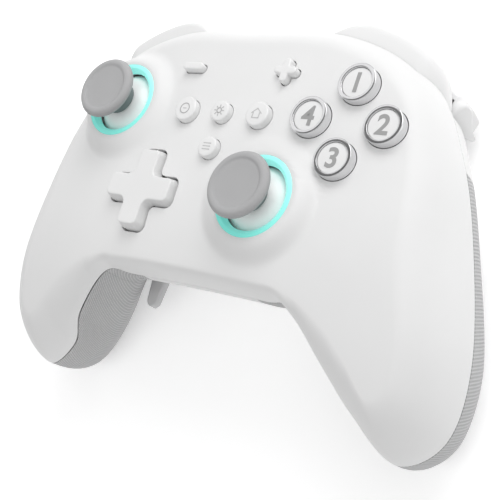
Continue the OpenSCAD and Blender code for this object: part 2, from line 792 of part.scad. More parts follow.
// A face button has a flange under its guide and a plunger to its dome.
module face_button(k) {
    p = face_at[k];
    color(white) seat() translate([p[0], p[1], 0]) rotate_extrude($fn = 40)
        polygon([
            [0, plunger_z], [2.2, plunger_z], [2.2, face_stop(p) - 1.3], [face_r + 1.4, face_stop(p) - 1.3],
            [face_r + 1.4, face_stop(p) - 0.1], [face_r - 0.85, face_stop(p) - 0.1],
            [face_r - 0.85, face_top(p) - 0.6], [face_r - 1.1, face_top(p) - 0.35], [0, face_top(p) - 0.35]
        ]);
}
module face_button_top() face_button(0);
module face_button_right() face_button(1);
module face_button_bottom() face_button(2);
module face_button_left() face_button(3);
// The bright rim is pressed on the button and moves with it.
module face_rim(k) {
    p = face_at[k];
    color(metal) seat() translate([p[0], p[1], 0]) rotate_extrude($fn = 40)
        polygon([
            [face_r - 0.8, face_stop(p) + 0.3], [face_r, face_stop(p) + 0.3], [face_r, face_top(p) - 0.35],
            [face_r - 0.25, face_top(p)], [face_r - 0.6, face_top(p)], [face_r - 0.8, face_top(p) - 0.25]
        ]);
}
module face_rim_top() face_rim(0);
module face_rim_right() face_rim(1);
module face_rim_bottom() face_rim(2);
module face_rim_left() face_rim(3);

// The cross pad tilts on its swivel and presses four domes.
module dpad() {
    z = dpad_pivot_z;
    top = face_z(dpad_x, dpad_y) + dpad_rise;
    color(white) seat() translate([dpad_x, dpad_y, 0]) difference() {
        union() {
            for (a = [0, 90]) {
                rotate(a) arm(2 * dpad_l, dpad_w, 2.2, z - 3, top - 0.6);
                rotate(a) arm(2 * dpad_l - 1.2, dpad_w - 1.2, 1.8, z, top);
            }
            tube_z(dpad_l + 1.6, z - 3.6, z - 2.4, 40);
            for (a = [0, 90, 180, 270]) {
                rotate(a) translate([8.6, 0, 0]) tube_z(1.5, plunger_z, z - 2.5, 20);
            }
        }
        difference() {
            tube_z(6.8, z - 5, z + 2.6, 32);
            for (s = [-1, 1]) {
                block([-1.6, s * 4.9 - 1, z - 1.7], [1.6, s * 4.9 + 1, z + 4]);
            }
        }
        translate([0, 8, z]) rotate([90, 0, 0]) cylinder(h = 16, r = 1 + fit, $fn = 32);
    }
}
// The swivel of the cross pad turns in the posts and carries the cross.
module dpad_pivot() {
    color(grey) seat() translate([dpad_x, dpad_y, dpad_pivot_z]) union() {
        block([-1.8, -1.8, -1.5], [1.8, 1.8, 1.5]);
        translate([-5.8, 0, 0]) rotate([0, 90, 0]) cylinder(h = 11.6, r = 1, $fn = 32);
        translate([0, 5.8, 0]) rotate([90, 0, 0]) cylinder(h = 11.6, r = 1, $fn = 32);
    }
}

// A small round button with a flange under the face.
module small_button(k) {
    p = small_at[k];
    r = small_rs[k];
    top = face_z(p[0], p[1]) + small_rise;
    color(white) seat() translate([p[0], p[1], 0]) rotate_extrude($fn = 32)
        polygon([
            [0, plunger_z], [1.6, plunger_z], [1.6, stop_z(p) - 1.2], [r + 1.1, stop_z(p) - 1.2],
            [r + 1.1, stop_z(p) - 0.1], [r, stop_z(p) - 0.1], [r, top - 0.6], [r - 0.2, top - 0.2], [r - 0.6, top],
            [0, top]
        ]);
}
module small_button_left() small_button(0);
module small_button_middle() small_button(1);
module small_button_right() small_button(2);
module small_button_lower() small_button(3);

module sign_button(p, turns) {
    top = face_z(p[0], p[1]) + small_rise;
    color(white) seat() translate([p[0], p[1], 0]) union() {
        for (a = turns) {
            rotate(a) bar(sign_l, sign_w, stop_z(p) - 0.6, top);
        }
        tube_z(sign_l / 2 + 1.2, stop_z(p) - 1.4, stop_z(p) - 0.1, 28);
        tube_z(1.6, plunger_z, stop_z(p) - 1, 20);
    }
}
module minus_button() sign_button([-sign_x * kx, sign_y], [0]);
module plus_button() sign_button([sign_x * kx, sign_y], [0, 90]);

// A bumper swings on an upright pin at its inner end.
module bumper(right) {
    color(white) seat() sided(right) union() {
        bumper_sections(0.74, 2.4, 4.5, bumper_out, 0, bumper_low, true);
        block([bumper_pin_x - 2.2, bumper_pin_y - 1.9, bumper_low], [bumper_pin_x + 2.2, bumper_pin_y + 4, bumper_low + 4]);
        translate([bumper_pin_x, bumper_pin_y, 0]) tube_z(bumper_pin_r, bumper_low - 4.1, bumper_low + 1, 24);
    }
}
module left_bumper() bumper(false);
module right_bumper() bumper(true);

// The bracket behind a trigger holds the trigger shaft, the bumper pin and the bumper switch.
module shoulder_bracket(right) {
    color(dark) seat() sided(right) difference() {
        union() {
            trigger_place() {
                block([-18.6, -7.5, -25.4], [19, -5.8, bumper_low - 0.7]);
                for (u = [-14.8, 12.3]) {
                    block([u, -7, -21.2], [u + 2.5, 1.6, bumper_low - 0.7]);
                }
                block([8.5, -9, -20], [15.5, -7.6, -11]);
                block([8.5, -8.5, -20], [15.5, -6.5, -17.8]);
            }
            translate([bumper_pin_x, bumper_pin_y, 0]) tube_z(2.4, bumper_low - 4.3, bumper_low - 1, 32);
        }
        translate([bumper_pin_x, bumper_pin_y, 0]) tube_z(bumper_pin_r + fit, -40, -5, 32);
        trigger_place() hinge_rod(trigger_shaft_r + fit, -20, 20);
    }
}
module left_shoulder_bracket() shoulder_bracket(false);
module right_shoulder_bracket() shoulder_bracket(true);

// The lever of a trigger, lofted along its hinge: t is 1 at the outer end and -0.8 at the inner end.
trigger_root = 2.6;
function trigger_front(t) = trigger_out - 0.8 - 1.4 * pow(max(t, 0), 4) - 1.2 * pow(max(-t, 0) / 0.8, 5);
function trigger_foot(t) = hinge_z - 14.4 + 7 * pow(max(t, 0), 4) + 5 * pow(max(-t, 0) / 0.8, 5);
function trigger_section(t) =
    let (deep = trigger_front(t) - trigger_root, top = hinge_z + 2.1, foot = trigger_foot(t), tall = top - foot)
    let (shape = [[0, 1], [0.46, 1], [0.74, 0.94], [0.915, 0.81], [1, 0.62], [0.98, 0.42], [0.87, 0.17], [0.7, 0.03],
                  [0.56, 0], [0.46, 0.11], [0.2, 0.36], [0, 0.55]])
    [for (q = shape) [t * 0.55 * trigger_l, trigger_root + deep * q[0], foot + tall * q[1]]];
module trigger_lever() {
    stops = [-0.8, -0.74, -0.62, -0.4, -0.1, 0.2, 0.45, 0.65, 0.8, 0.9, 0.97, 1];
    n = len(stops);
    points = [for (t = stops) each trigger_section(t)];
    sides = [
        for (i = [0:n - 2]) for (k = [0:11])
            let (a = i * 12 + k, b = i * 12 + (k + 1) % 12)
            each [[a, b, b + 12], [a, b + 12, a + 12]]
    ];
    last = (n - 1) * 12;
    ends = concat([for (k = [1:10]) [0, k + 1, k]], [for (k = [1:10]) [last, last + k, last + k + 1]]);
    polyhedron(points, concat(sides, ends), 4);
}
// A trigger is a curved lever with its shaft moulded on and a slot for the return spring.
module trigger(right) {
    z = hinge_z;
    color(white) seat() sided(right) trigger_place() union() {
        difference() {
            union() {
                trigger_lever();
                along_hinge(-12, 12) polygon([
                    [-3, z + 2.1], [trigger_root + 0.4, z + 2.1], [trigger_root + 0.4, z - 5.5], [1.2, z - 5.5],
                    [-1.5, z - 3.5], [-3, z - 2.1]
                ]);
            }
            block([-4.2, -8, z - 6], [4.2, 2.4, z + 6]);
        }
        hinge_rod(trigger_shaft_r, -14.6, 14.6);
    }
}
module left_trigger() trigger(false);
module right_trigger() trigger(true);

// The return spring sits on the trigger shaft with one leg on the bracket.
module trigger_spring(right) {
    color(metal) seat() sided(right) trigger_place() union() {
        difference() {
            hinge_rod(2.55, -3.8, 3.8);
            hinge_rod(trigger_shaft_r + 0.35, -5, 5);
        }
        block([-3.8, -5.75, hinge_z - 2.5], [-2.9, hinge_v, hinge_z - 1.7]);
        block([2.9, hinge_v, hinge_z + 1.7], [3.8, 1.8, hinge_z + 2.5]);
    }
}
module left_trigger_spring() trigger_spring(false);
module right_trigger_spring() trigger_spring(true);

// The bumper switch stands on the bracket behind the bumper.
module bumper_switch(right) {
    color(dark) seat() sided(right) trigger_place() union() {
        block([9, -7.6, -15.4], [15, -5.4, -11]);
        translate([12, -5.5, -13.2]) rotate([-90, 0, 0]) cylinder(h = 0.9, r = 1.2, $fn = 20);
    }
}
module left_bumper_switch() bumper_switch(false);
module right_bumper_switch() bumper_switch(true);

// A back paddle is a lever with a barrel at its hinge and a round tip.
module paddle(right) {
    tip = [paddle_x - 1.6, paddle_y - paddle_l, paddle_z];
    color(grey) seat() sided(right) difference() {
        union() {
            translate([paddle_x - 5.6, paddle_y, paddle_z]) rotate([0, 90, 0]) cylinder(h = 11.2, r = 2.3, $fn = 32);
            hull() {
                translate([paddle_x - 4.5, paddle_y - 1, paddle_z - 4.4]) cube([9, 2.6, 3.6]);
                translate([paddle_x - 6.2, paddle_y - 11, paddle_z - 8.4]) cube([8.4, 1, 2.8]);
            }
            hull() {
                translate([paddle_x - 6.2, paddle_y - 11, paddle_z - 8.4]) cube([8.4, 1, 2.8]);
                translate([tip[0], tip[1], tip[2] - 9.6]) cylinder(h = 2.8, r = paddle_tip_r, $fn = 32);
            }
        }
        translate([paddle_x - 9, paddle_y, paddle_z])
            rotate([0, 90, 0])
                cylinder(h = 18, r = paddle_pin_r + fit, $fn = 32);
    }
}
module left_paddle() paddle(false);
module right_paddle() paddle(true);
module paddle_pin(right) {
    color(metal) seat() sided(right) translate([paddle_x - 7.4, paddle_y, paddle_z])
        rotate([0, 90, 0])
            cylinder(h = 14.8, r = paddle_pin_r, $fn = 24);
}
module left_paddle_pin() paddle_pin(false);
module right_paddle_pin() paddle_pin(true);

// The switch of a paddle stands on the back shell with its button through the wall.
module paddle_switch(right) {
    color(dark) seat() sided(right) translate([paddle_x - 1.5, switch_y, 0]) union() {
        block([-2.6, -2.6, switch_z], [2.6, 2.6, switch_z + 3.2]);
        tube_z(1.2, paddle_z - 5.1, switch_z + 0.7, 20);
    }
}
module left_paddle_switch() paddle_switch(false);
module right_paddle_switch() paddle_switch(true);

module screw(p, head, l) {
    translate([p[0], p[1], head]) {
        tube_z(1.25, -0.2, l, 16);
        difference() {
            tube_z(2.4, -1.7, 0, 24);
            translate([0, 0, -2.2]) cylinder(h = 1.3, r = 1.1, $fn = 6);
        }
    }
}
// Six screws hold the back shell and the grips to the front shell.
module case_screws() {
    color(metal) seat() for (s = [-1, 1]) {
        screw([s * case_at[0][0], case_at[0][1]], -25, 13);
        screw([s * case_at[1][0], case_at[1][1]], -26, 14);
        screw([s * handle_screw[0], handle_screw[1]], -38, 16);
    }
}

front_shell();
back_shell();
left_grip();
right_grip();
left_light_ring();
right_light_ring();
main_board();
battery();
usb_socket();
button_pad();
dpad_pad();
dpad_base();
left_rumble_motor();
right_rumble_motor();
left_stick_base();
right_stick_base();
left_shoulder_bracket();
right_shoulder_bracket();
left_trigger_spring();
right_trigger_spring();
left_bumper_switch();
right_bumper_switch();
left_paddle_pin();
right_paddle_pin();
left_paddle_switch();
right_paddle_switch();
case_screws();
left_stick_yoke();
left_stick_swivel();
left_stick_stem();
left_stick_cap();
right_stick_yoke();
right_stick_swivel();
right_stick_stem();
right_stick_cap();
face_button_top();
face_button_right();
face_button_bottom();
face_button_left();
face_rim_top();
face_rim_right();
face_rim_bottom();
face_rim_left();
dpad();
dpad_pivot();
small_button_left();
small_button_middle();
small_button_right();
small_button_lower();
minus_button();
plus_button();
left_bumper();
right_bumper();
left_trigger();
right_trigger();
left_paddle();
right_paddle();
left_rumble_weight();
right_rumble_weight();
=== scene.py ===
"""The gamepad controller's looks: covers, grips, sticks, shoulders and buttons, with their finishes."""

import math

import bmesh
import bpy
import numpy as np
from mathutils import Matrix, Vector


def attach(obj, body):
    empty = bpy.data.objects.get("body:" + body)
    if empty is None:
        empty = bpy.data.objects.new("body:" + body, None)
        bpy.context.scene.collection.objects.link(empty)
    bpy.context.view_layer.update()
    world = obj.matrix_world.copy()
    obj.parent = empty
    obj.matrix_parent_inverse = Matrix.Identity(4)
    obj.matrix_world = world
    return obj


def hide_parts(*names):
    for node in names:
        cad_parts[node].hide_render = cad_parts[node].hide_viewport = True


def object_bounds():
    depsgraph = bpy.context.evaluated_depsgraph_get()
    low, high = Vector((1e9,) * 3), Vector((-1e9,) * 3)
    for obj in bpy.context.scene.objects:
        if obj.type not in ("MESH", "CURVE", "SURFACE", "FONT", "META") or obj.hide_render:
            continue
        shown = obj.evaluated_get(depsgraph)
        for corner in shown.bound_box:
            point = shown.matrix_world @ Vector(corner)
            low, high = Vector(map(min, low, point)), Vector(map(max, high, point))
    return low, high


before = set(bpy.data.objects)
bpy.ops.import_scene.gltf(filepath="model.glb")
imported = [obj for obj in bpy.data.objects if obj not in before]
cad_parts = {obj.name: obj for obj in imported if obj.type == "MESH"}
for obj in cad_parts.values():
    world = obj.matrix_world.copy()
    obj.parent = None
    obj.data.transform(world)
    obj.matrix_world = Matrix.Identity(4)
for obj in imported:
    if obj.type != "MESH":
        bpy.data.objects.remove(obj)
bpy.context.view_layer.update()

# The face's own frame, in millimetres: X to the player's right, Y away from the player, Z out of the face.
TILT = math.radians(12.5)
SEAT_Y = 16.02
LOW_Z = -42.2542
SEAT = (
    Matrix.Translation((0, SEAT_Y / 1000, -LOW_Z / 1000))
    @ Matrix.Rotation(-TILT, 4, "X")
    @ Matrix.Scale(0.001, 4))
UNSEAT = SEAT.inverted()
SIDES = {"left": -1, "right": 1}
BELOW = -60.0

# Wall of the covers, and the play around the sign buttons.
WALL = 2.0
GAP = 0.35

# Sections of the right half, clockwise from the top middle.
# Each is the outline's x and y, the spine's x and y, the seam's height, the front roll and the back roll.
SECTIONS = np.array([
    [0, 41, 0, 2, -12, 8.5, 12],
    [29.5, 40.5, 26, 1, -12, 8.5, 12],
    [53, 30.5, 41, -2, -13.5, 10, 13.5],
    [65.5, 11, 49, -9, -17, 12.5, 15],
    [72, -10.2, 54, -22, -23.7, 13.9, 17],
    [77.3, -37.9, 58.5, -37, -30.2, 12.4, 16],
    [74.7, -57.4, 61.5, -46.5, -34.6, 12.2, 16],
    [63.7, -66.3, 58, -46, -34.2, 11.7, 15],
    [52, -58.6, 54, -34, -29.3, 11.5, 15],
    [44.9, -50, 45, -15, -19.3, 10, 14],
    [33.2, -37.5, 30, -6, -11.6, 3.6, 13],
    [23.5, -36.2, 21, -3, -14, 3, 12.5],
    [0, -36, 0, -2, -13.8, 3, 12.5],
])
ALL_SECTIONS = np.vstack([SECTIONS, SECTIONS[-2:0:-1] * [-1, 1, -1, 1, 1, 1, 1]])
LAST = len(SECTIONS) - 1
HANDLE_END = 6.5  # the station at the end of a handle, where the two sides of the spine meet

# The front falls away towards the handles and is crowned from side to side.
FALL = 12.3
FALL_Y = 8.6
FALL_RUN = 52.0
CROWN = 6.2
CROWN_X = 70.0

# The back is shallow, with a bulge in the middle, deeper handles and their deepest part at the tips.
BACK_DEEP = 28.6
HANDLE_DEEP = 23.4
HANDLE_X = 25.0
HANDLE_X_RUN = 35.0
HANDLE_Y = 9.6
HANDLE_SHARE = 0.25
BULGE_DEEP = 8.0
BULGE_X = 38.0
BULGE_X_RUN = 18.0
BULGE_Y = 20.0
TIP_DEEP = 5.0
TIP_Y = 35.0
TIP_RUN = 39.0

# The rolled edges: a higher power is squarer, and a front roll shorter than CRISP_ROLL is crisper.
FRONT_POWER = 1.83
BACK_POWER = 2.5
CRISP_ROLL = 6.0
CRISP_RUN = 2.4
SEAM_HALF = 0.1
GROOVE_IN = 0.9
GROOVE_UP = 0.28

# How finely the covers are divided.
FRONT_GRID = {"n": 240, "rolls": 14, "flats": 30, "across": 6}
BACK_GRID = {"n": 160, "rolls": 12, "flats": 16, "across": 4}
INNER_GRID = {"rolls": 5, "flats": 8, "across": 2}
CORE_GRID = {"n": 60, "rolls": 6, "flats": 8, "across": 2}

# Sticks: a light ring in a collar, a dome on a post, and a cap.
STICKS = {"left": (-39.0, 12.0), "right": (20.0, -12.6)}
RING_R = 11.7
RING_IN = 9.6
RING_Z = 1.9
RING_DEEP = 2.2
COLLAR_Z = RING_Z - 0.15
COLLAR_LAND = 0.7
COLLAR_RUN = 6.0
COLLAR_OVER = 0.6
PIVOT_Z = -9.6
DOME_R = 12.4
DOME_WALL = 1.2
DOME_LOW = 62.0  # degrees from the axis to the dome's lower edge
DOME_OPEN = 20.0  # degrees from the axis to the dome's upper edge
DOME_TOP = PIVOT_Z + DOME_R * math.cos(math.radians(DOME_OPEN))
STEM_R = 1.5
POST_R = 2.6
POST_Z = RING_Z + 4.0
CAP_R = 9.3
CAP_Z = RING_Z + 8.4
CAP_NECK_R = 4.9
# Below this depth under the cap's top, the cap's underside and neck are painted darker: painted shade.
CAP_SHADE = 3.2
RIM_RIBS = 132

# Buttons and the cross pad.
FACE_MID = (39.0, 11.5)
FACE_PITCH = 10.7
FACE_R = 5.5
FACE_RISE = 2.6
FACE_PLAY = 0.16
FACE_AT = {"top": (0, 1), "right": (1, 0), "bottom": (0, -1), "left": (-1, 0)}
RIM_W = 1.1
NUMERAL_H = 5.7
SMALL_AT = {  # places and radii
    "left": (-13.2, 10.6, 3.7), "middle": (-0.5, 10.6, 3.1),
    "right": (12.2, 10.6, 3.7), "lower": (-0.5, -0.3, 3.1)}
SMALL_RISE = 2.3
SMALL_PLAY = 0.18
MARK_W = 0.3
SIGN_X = 16.3
SIGN_Y = 24.2
SIGN_L = 7.2
SIGN_W = 2.4
CROSS_AT = (-20.0, -14.3)
CROSS_L = 12.0
CROSS_W = 8.2
CROSS_PIVOT = -4.2
CROSS_RISE = 2.6
CROSS_LEAN = 0.6
CROSS_PINS = 8.6
LEAN_H = 3.0
PLUNGER_Z = -11.3
BOARD_Z = -16.0

# Shoulders and paddles. The bumper's ends are stations of the outline, as are the ends of its slot.
BUMPER_ENDS = (0.74, 2.4)
SLOT_ENDS = (0.7, 2.445)
BUMPER_OUT = 4.3
BUMPER_IN = 4.5
BUMPER_DROP = 4.6
BUMPER_LOW = -15.5
BUMPER_PIN = (25.0, 33.5)
BUMPER_TAPER = 0.66
BUMPER_TIP = 1.5
SLOT_IN = 7.6
TRIGGER_MID = (44.0, 32.25)
TRIGGER_TURN = math.radians(-30)
TRIGGER_OUT = 6.4
TRIGGER_L = 33.5
TRIGGER_ROOT = 2.6
HINGE_V = -1.0
HINGE_Z = -18.5
LEVER_TOP = 2.1
LEVER_FOOT = 14.4
CHEEK_FROM = 0.82
CHEEK_RUN = 0.07
CHEEK_EASE = 1.1
PADDLE_AT = (37.0, -9.0, -31.0)
PADDLE_L = 28.8
PADDLE_TIP = 2.4
PADDLE_BEND = 11.0

# Grips: where they part from the back cover, the patch of the back cover that is ribbed too, and the ribs.
GRIP_DIR = (0.853, -0.52)
GRIP_EDGE = (
    (97.2, 57.2), (48.3, -23.0), (35.6, -34.8), (27.0, -45.0),
    (27.0, -100.0), (160.0, -100.0), (160.0, 57.2))
GRIP_PLAY = 0.06
PATCH_SPAN = (18.0, 46.0)
PATCH_X = 34.0
PATCH_Y = -28.0
PATCH_SLOPE = 0.6
RIB_PITCH = 0.92
RIB_LEAN_OUT = 0.3
RIB_LEAN_IN = 0.7
PAST_RIBS = 1.5

# Case screws.
CASE_AT = {(33.0, -29.0): -25.0, (25.0, 27.5): -26.0}  # places, and the heights of the heads
HANDLE_AT = (65.0, -56.0)
HEAD_R = 2.8
SHANK_R = 1.5
COLUMN_R = 4.2


# Shapes. A shape is its points in the face's frame and its faces.

def soft(t):
    """A smooth step from 0 to 1."""
    u = np.clip(t, 0, 1)
    return u * u * (3 - 2 * u)


def between(a, b, c, d, t):
    """A smooth line from b to c, which comes from a and goes on to d."""
    return 0.5 * (2 * b + (c - a) * t + (2 * a - 5 * b + 4 * c - d) * t**2 + (3 * b - a - 3 * c + d) * t**3)


def station(i):
    """The sections at stations round the body: whole numbers are the sections in the list."""
    i = np.atleast_1d(np.asarray(i, float))
    k = np.floor(i).astype(int)
    a, b, c, d = (ALL_SECTIONS[(k + j) % len(ALL_SECTIONS)] for j in (-1, 0, 1, 2))
    return between(a, b, c, d, (i - k)[:, None])


def face_z(x, y):
    w = np.maximum(-y - FALL_Y, 0) / FALL_RUN
    return -FALL * w * w - CROWN * (x / CROWN_X) ** 2


def back_z(x, y):
    across = soft((np.abs(x) - HANDLE_X) / HANDLE_X_RUN)
    along = HANDLE_SHARE + (1 - HANDLE_SHARE) * soft((HANDLE_Y - y) / FALL_RUN)
    bulge = BULGE_DEEP * soft((BULGE_X - np.abs(x)) / BULGE_X_RUN) * soft((y + BULGE_Y) / BULGE_Y)
    tip = np.maximum(-y - TIP_Y, 0) / TIP_RUN
    return -BACK_DEEP - HANDLE_DEEP * across * along - bulge - TIP_DEEP * tip * tip


def skin_z(p, inset, front):
    """Height of a skin over points of the plan."""
    return face_z(p[:, 0], p[:, 1]) - inset if front else back_z(p[:, 0], p[:, 1]) + inset


def roll(q, power):
    return 1 - (1 - (1 - np.clip(q, 0, 1)) ** power) ** (1 / power)


def with_collars(p):
    """Lifts the front around the sticks: each collar runs out into the face.

    Inside its land a collar stands higher still, so that the stick's bore cuts it off level.
    """
    p = p.copy()
    for cx, cy in STICKS.values():
        away = (np.hypot(p[:, 0] - cx, p[:, 1] - cy) - RING_R - COLLAR_LAND) / COLLAR_RUN
        p[:, 2] += (COLLAR_Z - p[:, 2]) * (1 - soft(away) - COLLAR_OVER * np.clip(away, -0.5, 0))
    return p


def cover_stations(n):
    """Stations round the body, spaced so that each one above the spine has its partner below it."""
    up = HANDLE_END * np.arange(n + 1) / n
    low = (LAST - HANDLE_END) * np.arange(n + 1) / n
    return np.concatenate([up, (LAST - low)[n - 1::-1], (LAST + low)[1:], (2 * LAST - up)[n - 1:0:-1]])


def skin_rows(columns, inset, front, rolls, flats, lip):
    """Rows of points from the seam over the rolled edge to the spine. A lip leaves a groove at the seam."""
    rim, spine, seam = columns[:, :2], columns[:, 2:4], columns[:, 4]
    edge = columns[:, 5 if front else 6]
    full = np.linalg.norm(spine - rim, axis=1)
    inward = (spine - rim) / full[:, None]
    power = FRONT_POWER + soft((CRISP_ROLL - edge) / CRISP_RUN) if front else BACK_POWER
    side = 1 if front else -1
    reach = np.minimum(edge, 0.93 * full) - 0.7 * inset
    rows = [np.column_stack([rim + inward * (inset + GROOVE_IN * lip), seam + side * SEAM_HALF])]
    if lip:
        rows.append(np.column_stack([rim + inward * inset, seam + side * GROOVE_UP]))
    steps = [reach * (1 - math.cos(a) ** (2 / power)) for a in np.linspace(0, math.pi / 2, rolls + 1)[1:]]
    steps += [reach + (full - inset - reach) * k for k in np.linspace(0, 1, flats + 1)[1:]]
    for d in steps:
        p = rim + inward * (inset + d)[:, None]
        z = skin_z(p, inset, front)
        rows.append(np.column_stack([p, z + (seam - z) * roll(d / reach, power)]))
    return np.array(rows)


def band(a, b, count):
    """Faces between two closed rows of points that start at a and b."""
    here = np.arange(count)
    after = (here + 1) % count
    return np.column_stack([a + here, a + after, b + after, b + here]).tolist()


def bands(rows, count):
    """Faces between closed rows of points that follow each other."""
    faces = []
    for j in range(rows - 1):
        faces += band(j * count, (j + 1) * count, count)
    return faces


def joined(*shapes):
    points, faces = [], []
    for p, f in shapes:
        first = sum(len(q) for q in points)
        points.append(np.asarray(p, float))
        faces += [[first + k for k in face] for face in f]
    return np.vstack(points), faces


def seamed(a, b, count):
    """Two skins as one closed shape: a rim joins their first rows."""
    points, faces = joined(a, b)
    return points, faces + band(0, len(a[0]), count)


def skin(n, inset, front, rolls, flats, across, lip=0):
    """One skin of a cover: its rows, and the strip between the two sides of the spine."""
    rows = skin_rows(station(cover_stations(n)), inset, front, rolls, flats, lip)
    count = 4 * n
    points = rows.reshape(-1, 3)
    faces = bands(len(rows), count)
    last = (len(rows) - 1) * count
    i = np.arange(n + 1)
    spare = []
    for upper, lower in ((i, 2 * n - i), ((count - i) % count, 2 * n + i)):
        ids = np.zeros((across + 1, n + 1), int)
        ids[0], ids[across] = last + upper, last + lower
        for k in range(1, across):
            p = points[ids[0]] + (points[ids[across]] - points[ids[0]]) * k / across
            p[:, 2] = skin_z(p, inset, front)
            ids[k] = np.append(len(points) + len(spare) + i[:n], ids[0, n])
            spare += p[:n].tolist()
        for k in range(across):
            for j in range(n):
                corners = [ids[k, j], ids[k, j + 1], ids[k + 1, j + 1], ids[k + 1, j]]
                faces.append([int(c) for c in dict.fromkeys(corners)])
    return np.vstack([points, spare]), faces


def hollow_cover(n, front, rolls, flats, across):
    """A cover with its wall: outer skin, inner skin and the rim between them."""
    points, faces = skin(n, 0, front, rolls, flats, across, 1)
    if front:
        points = with_collars(points)
    return seamed((points, faces), skin(n, WALL, front, **INNER_GRID), 4 * n)


def body_core(inset):
    """The body as one solid a little inside the skin, to trim what stands on the inner walls."""
    front, back = (skin(inset=inset, front=way, **CORE_GRID) for way in (True, False))
    return seamed(front, back, 4 * CORE_GRID["n"])


def rib_marks(n, rolls, flats, across):
    """For each point of a back cover: the rib that it lies on, and its share of the way to the spine."""
    fine = np.linspace(0, LAST, 2401)
    steps = np.linalg.norm(np.diff(station(fine)[:, :2], axis=0), axis=1)
    stations = cover_stations(n)
    place = np.minimum(stations, 2 * LAST - stations)
    along = np.interp(place, fine, np.append(0, np.cumsum(steps)))
    lean = RIB_LEAN_OUT + (RIB_LEAN_IN - RIB_LEAN_OUT) * soft((place - HANDLE_END) / 2)
    columns = station(stations)
    rows = skin_rows(columns, 0, False, rolls, flats, 1)
    marks = []
    for j, row in enumerate(rows):
        run = along + lean * (columns[:, 4] - row[:, 2])
        marks.append(np.column_stack([run, np.full(4 * n, j / (len(rows) - 1))]))
    rest = len(hollow_cover(n, False, rolls, flats, across)[0]) - 4 * n * len(rows)
    marks.append(np.full((rest, 2), PAST_RIBS))
    return np.vstack(marks) * [1 / RIB_PITCH, 1]


def loft(rows):
    """A solid through closed rows of points, with flat ends."""
    rows = np.asarray(rows, float)
    n, m = rows.shape[:2]
    return rows.reshape(-1, 3), bands(n, m) + [list(range(m))[::-1], list(range((n - 1) * m, n * m))]


def turned(profile, centre, turns=96):
    """A turned piece on an upright axis. A profile that doesn't end on the axis is a ring's own loop."""
    profile = [tuple(p) for p in profile]
    ring = profile[0][0] > 0
    angles = np.arange(turns) * 2 * math.pi / turns
    points, rows = [], []
    for r, z in profile:
        rows.append((len(points), 1 if r == 0 else turns))
        points += [(centre[0], centre[1], z)] if r == 0 else [
            (centre[0] + r * math.cos(a), centre[1] + r * math.sin(a), z) for a in angles]
    faces = []
    for j in range(len(rows) if ring else len(rows) - 1):
        (a, na), (b, nb) = rows[j], rows[(j + 1) % len(rows)]
        for k in range(turns):
            corners = [a + k % na, a + (k + 1) % na, b + (k + 1) % nb, b + k % nb]
            faces.append(list(dict.fromkeys(corners)))
    return np.array(points), faces


def eased(points, cuts, steps=6):
    """A profile with its inner corners rounded, each by its own cut."""
    points = np.asarray(points, float)
    out = [points[0]]
    for k in range(1, len(points) - 1):
        before, corner, after = points[k - 1:k + 2]
        a, b = np.linalg.norm(before - corner), np.linalg.norm(after - corner)
        cut = min(cuts[k], 0.5 * a, 0.5 * b) if cuts[k] else 0
        if not cut:
            out.append(corner)
            continue
        p, q = corner + (before - corner) * cut / a, corner + (after - corner) * cut / b
        out += [(1 - t) ** 2 * p + 2 * t * (1 - t) * corner + t * t * q for t in np.linspace(0, 1, steps)]
    return np.array(out + [points[-1]])


def rounded(points, steps=6):
    """An open line drawn smoothly through its points, kept inside their box."""
    ends = np.vstack([2 * points[0] - points[1], points, 2 * points[-1] - points[-2]])
    curve = []
    for a, b, c, d in zip(ends, ends[1:], ends[2:], ends[3:]):
        curve += [between(a, b, c, d, t) for t in np.arange(steps) / steps]
    return np.clip(np.array(curve + [points[-1]]), points.min(0), points.max(0))


def outline(corners, radii, inset=0.0, steps=8):
    """A square-cornered plan, anticlockwise, with rounded corners and moved in by an inset."""
    corners = np.asarray(corners, float)
    out = []
    for k, v in enumerate(corners):
        a = v - corners[k - 1]
        b = corners[(k + 1) % len(corners)] - v
        a, b = a / np.linalg.norm(a), b / np.linalg.norm(b)
        outward = a[0] * b[1] - a[1] * b[0] > 0
        v = v + inset * (np.array([-a[1], a[0]]) + np.array([-b[1], b[0]]))
        r = max(radii[k] - inset if outward else radii[k] + inset, 0.02)
        centre = v - a * r + b * r
        turns = np.linspace(0, math.pi / 2, steps)
        out += [centre - b * r * math.cos(t) + a * r * math.sin(t) for t in turns]
    return np.array(out)


def cross_plan(l, w):
    c = w / 2
    return [
        (c, -l), (c, -c), (l, -c), (l, c), (c, c), (c, l),
        (-c, l), (-c, c), (-l, c), (-l, -c), (-c, -c), (-c, -l)]


def cross_radii(end, web):
    return [end, web, end] * 4


def bar_plan(l, w):
    return [(l / 2, -w / 2), (l / 2, w / 2), (-l / 2, w / 2), (-l / 2, -w / 2)]


def level(plan, centre, z):
    return np.column_stack([plan + np.asarray(centre), np.full(len(plan), z)])


def capped(corners, radii, centre, low, top, ease, steps=8, lean=0.0):
    """An upright piece on a plan. Its top edge is eased, and the last of its wall may lean in."""
    def row(inset, z):
        return level(outline(corners, radii, inset, steps), centre, z)

    rows = [row(0, z) for z in ([low, top - LEAN_H] if lean else [low])]
    for t in np.linspace(0, math.pi / 2, 7):
        rows.append(row(lean + ease * (1 - math.cos(t)), top - ease * (1 - math.sin(t))))
    rows.append(row(lean + ease + 0.35, top + 0.01))
    return loft(rows)


def prism(corners, radii, centre, low, high, steps=8):
    plan = outline(corners, radii, 0, steps)
    return loft([level(plan, centre, low), level(plan, centre, high)])


def drum(r, centre, low, high, turns=64):
    return turned([(0, low), (r, low), (r, high), (0, high)], centre, turns)


def block(low, high):
    x, y = (low[0], high[0]), (low[1], high[1])
    plan = [(x[0], y[0]), (x[1], y[0]), (x[1], y[1]), (x[0], y[1])]
    return loft([[(a, b, z) for a, b in plan] for z in (low[2], high[2])])


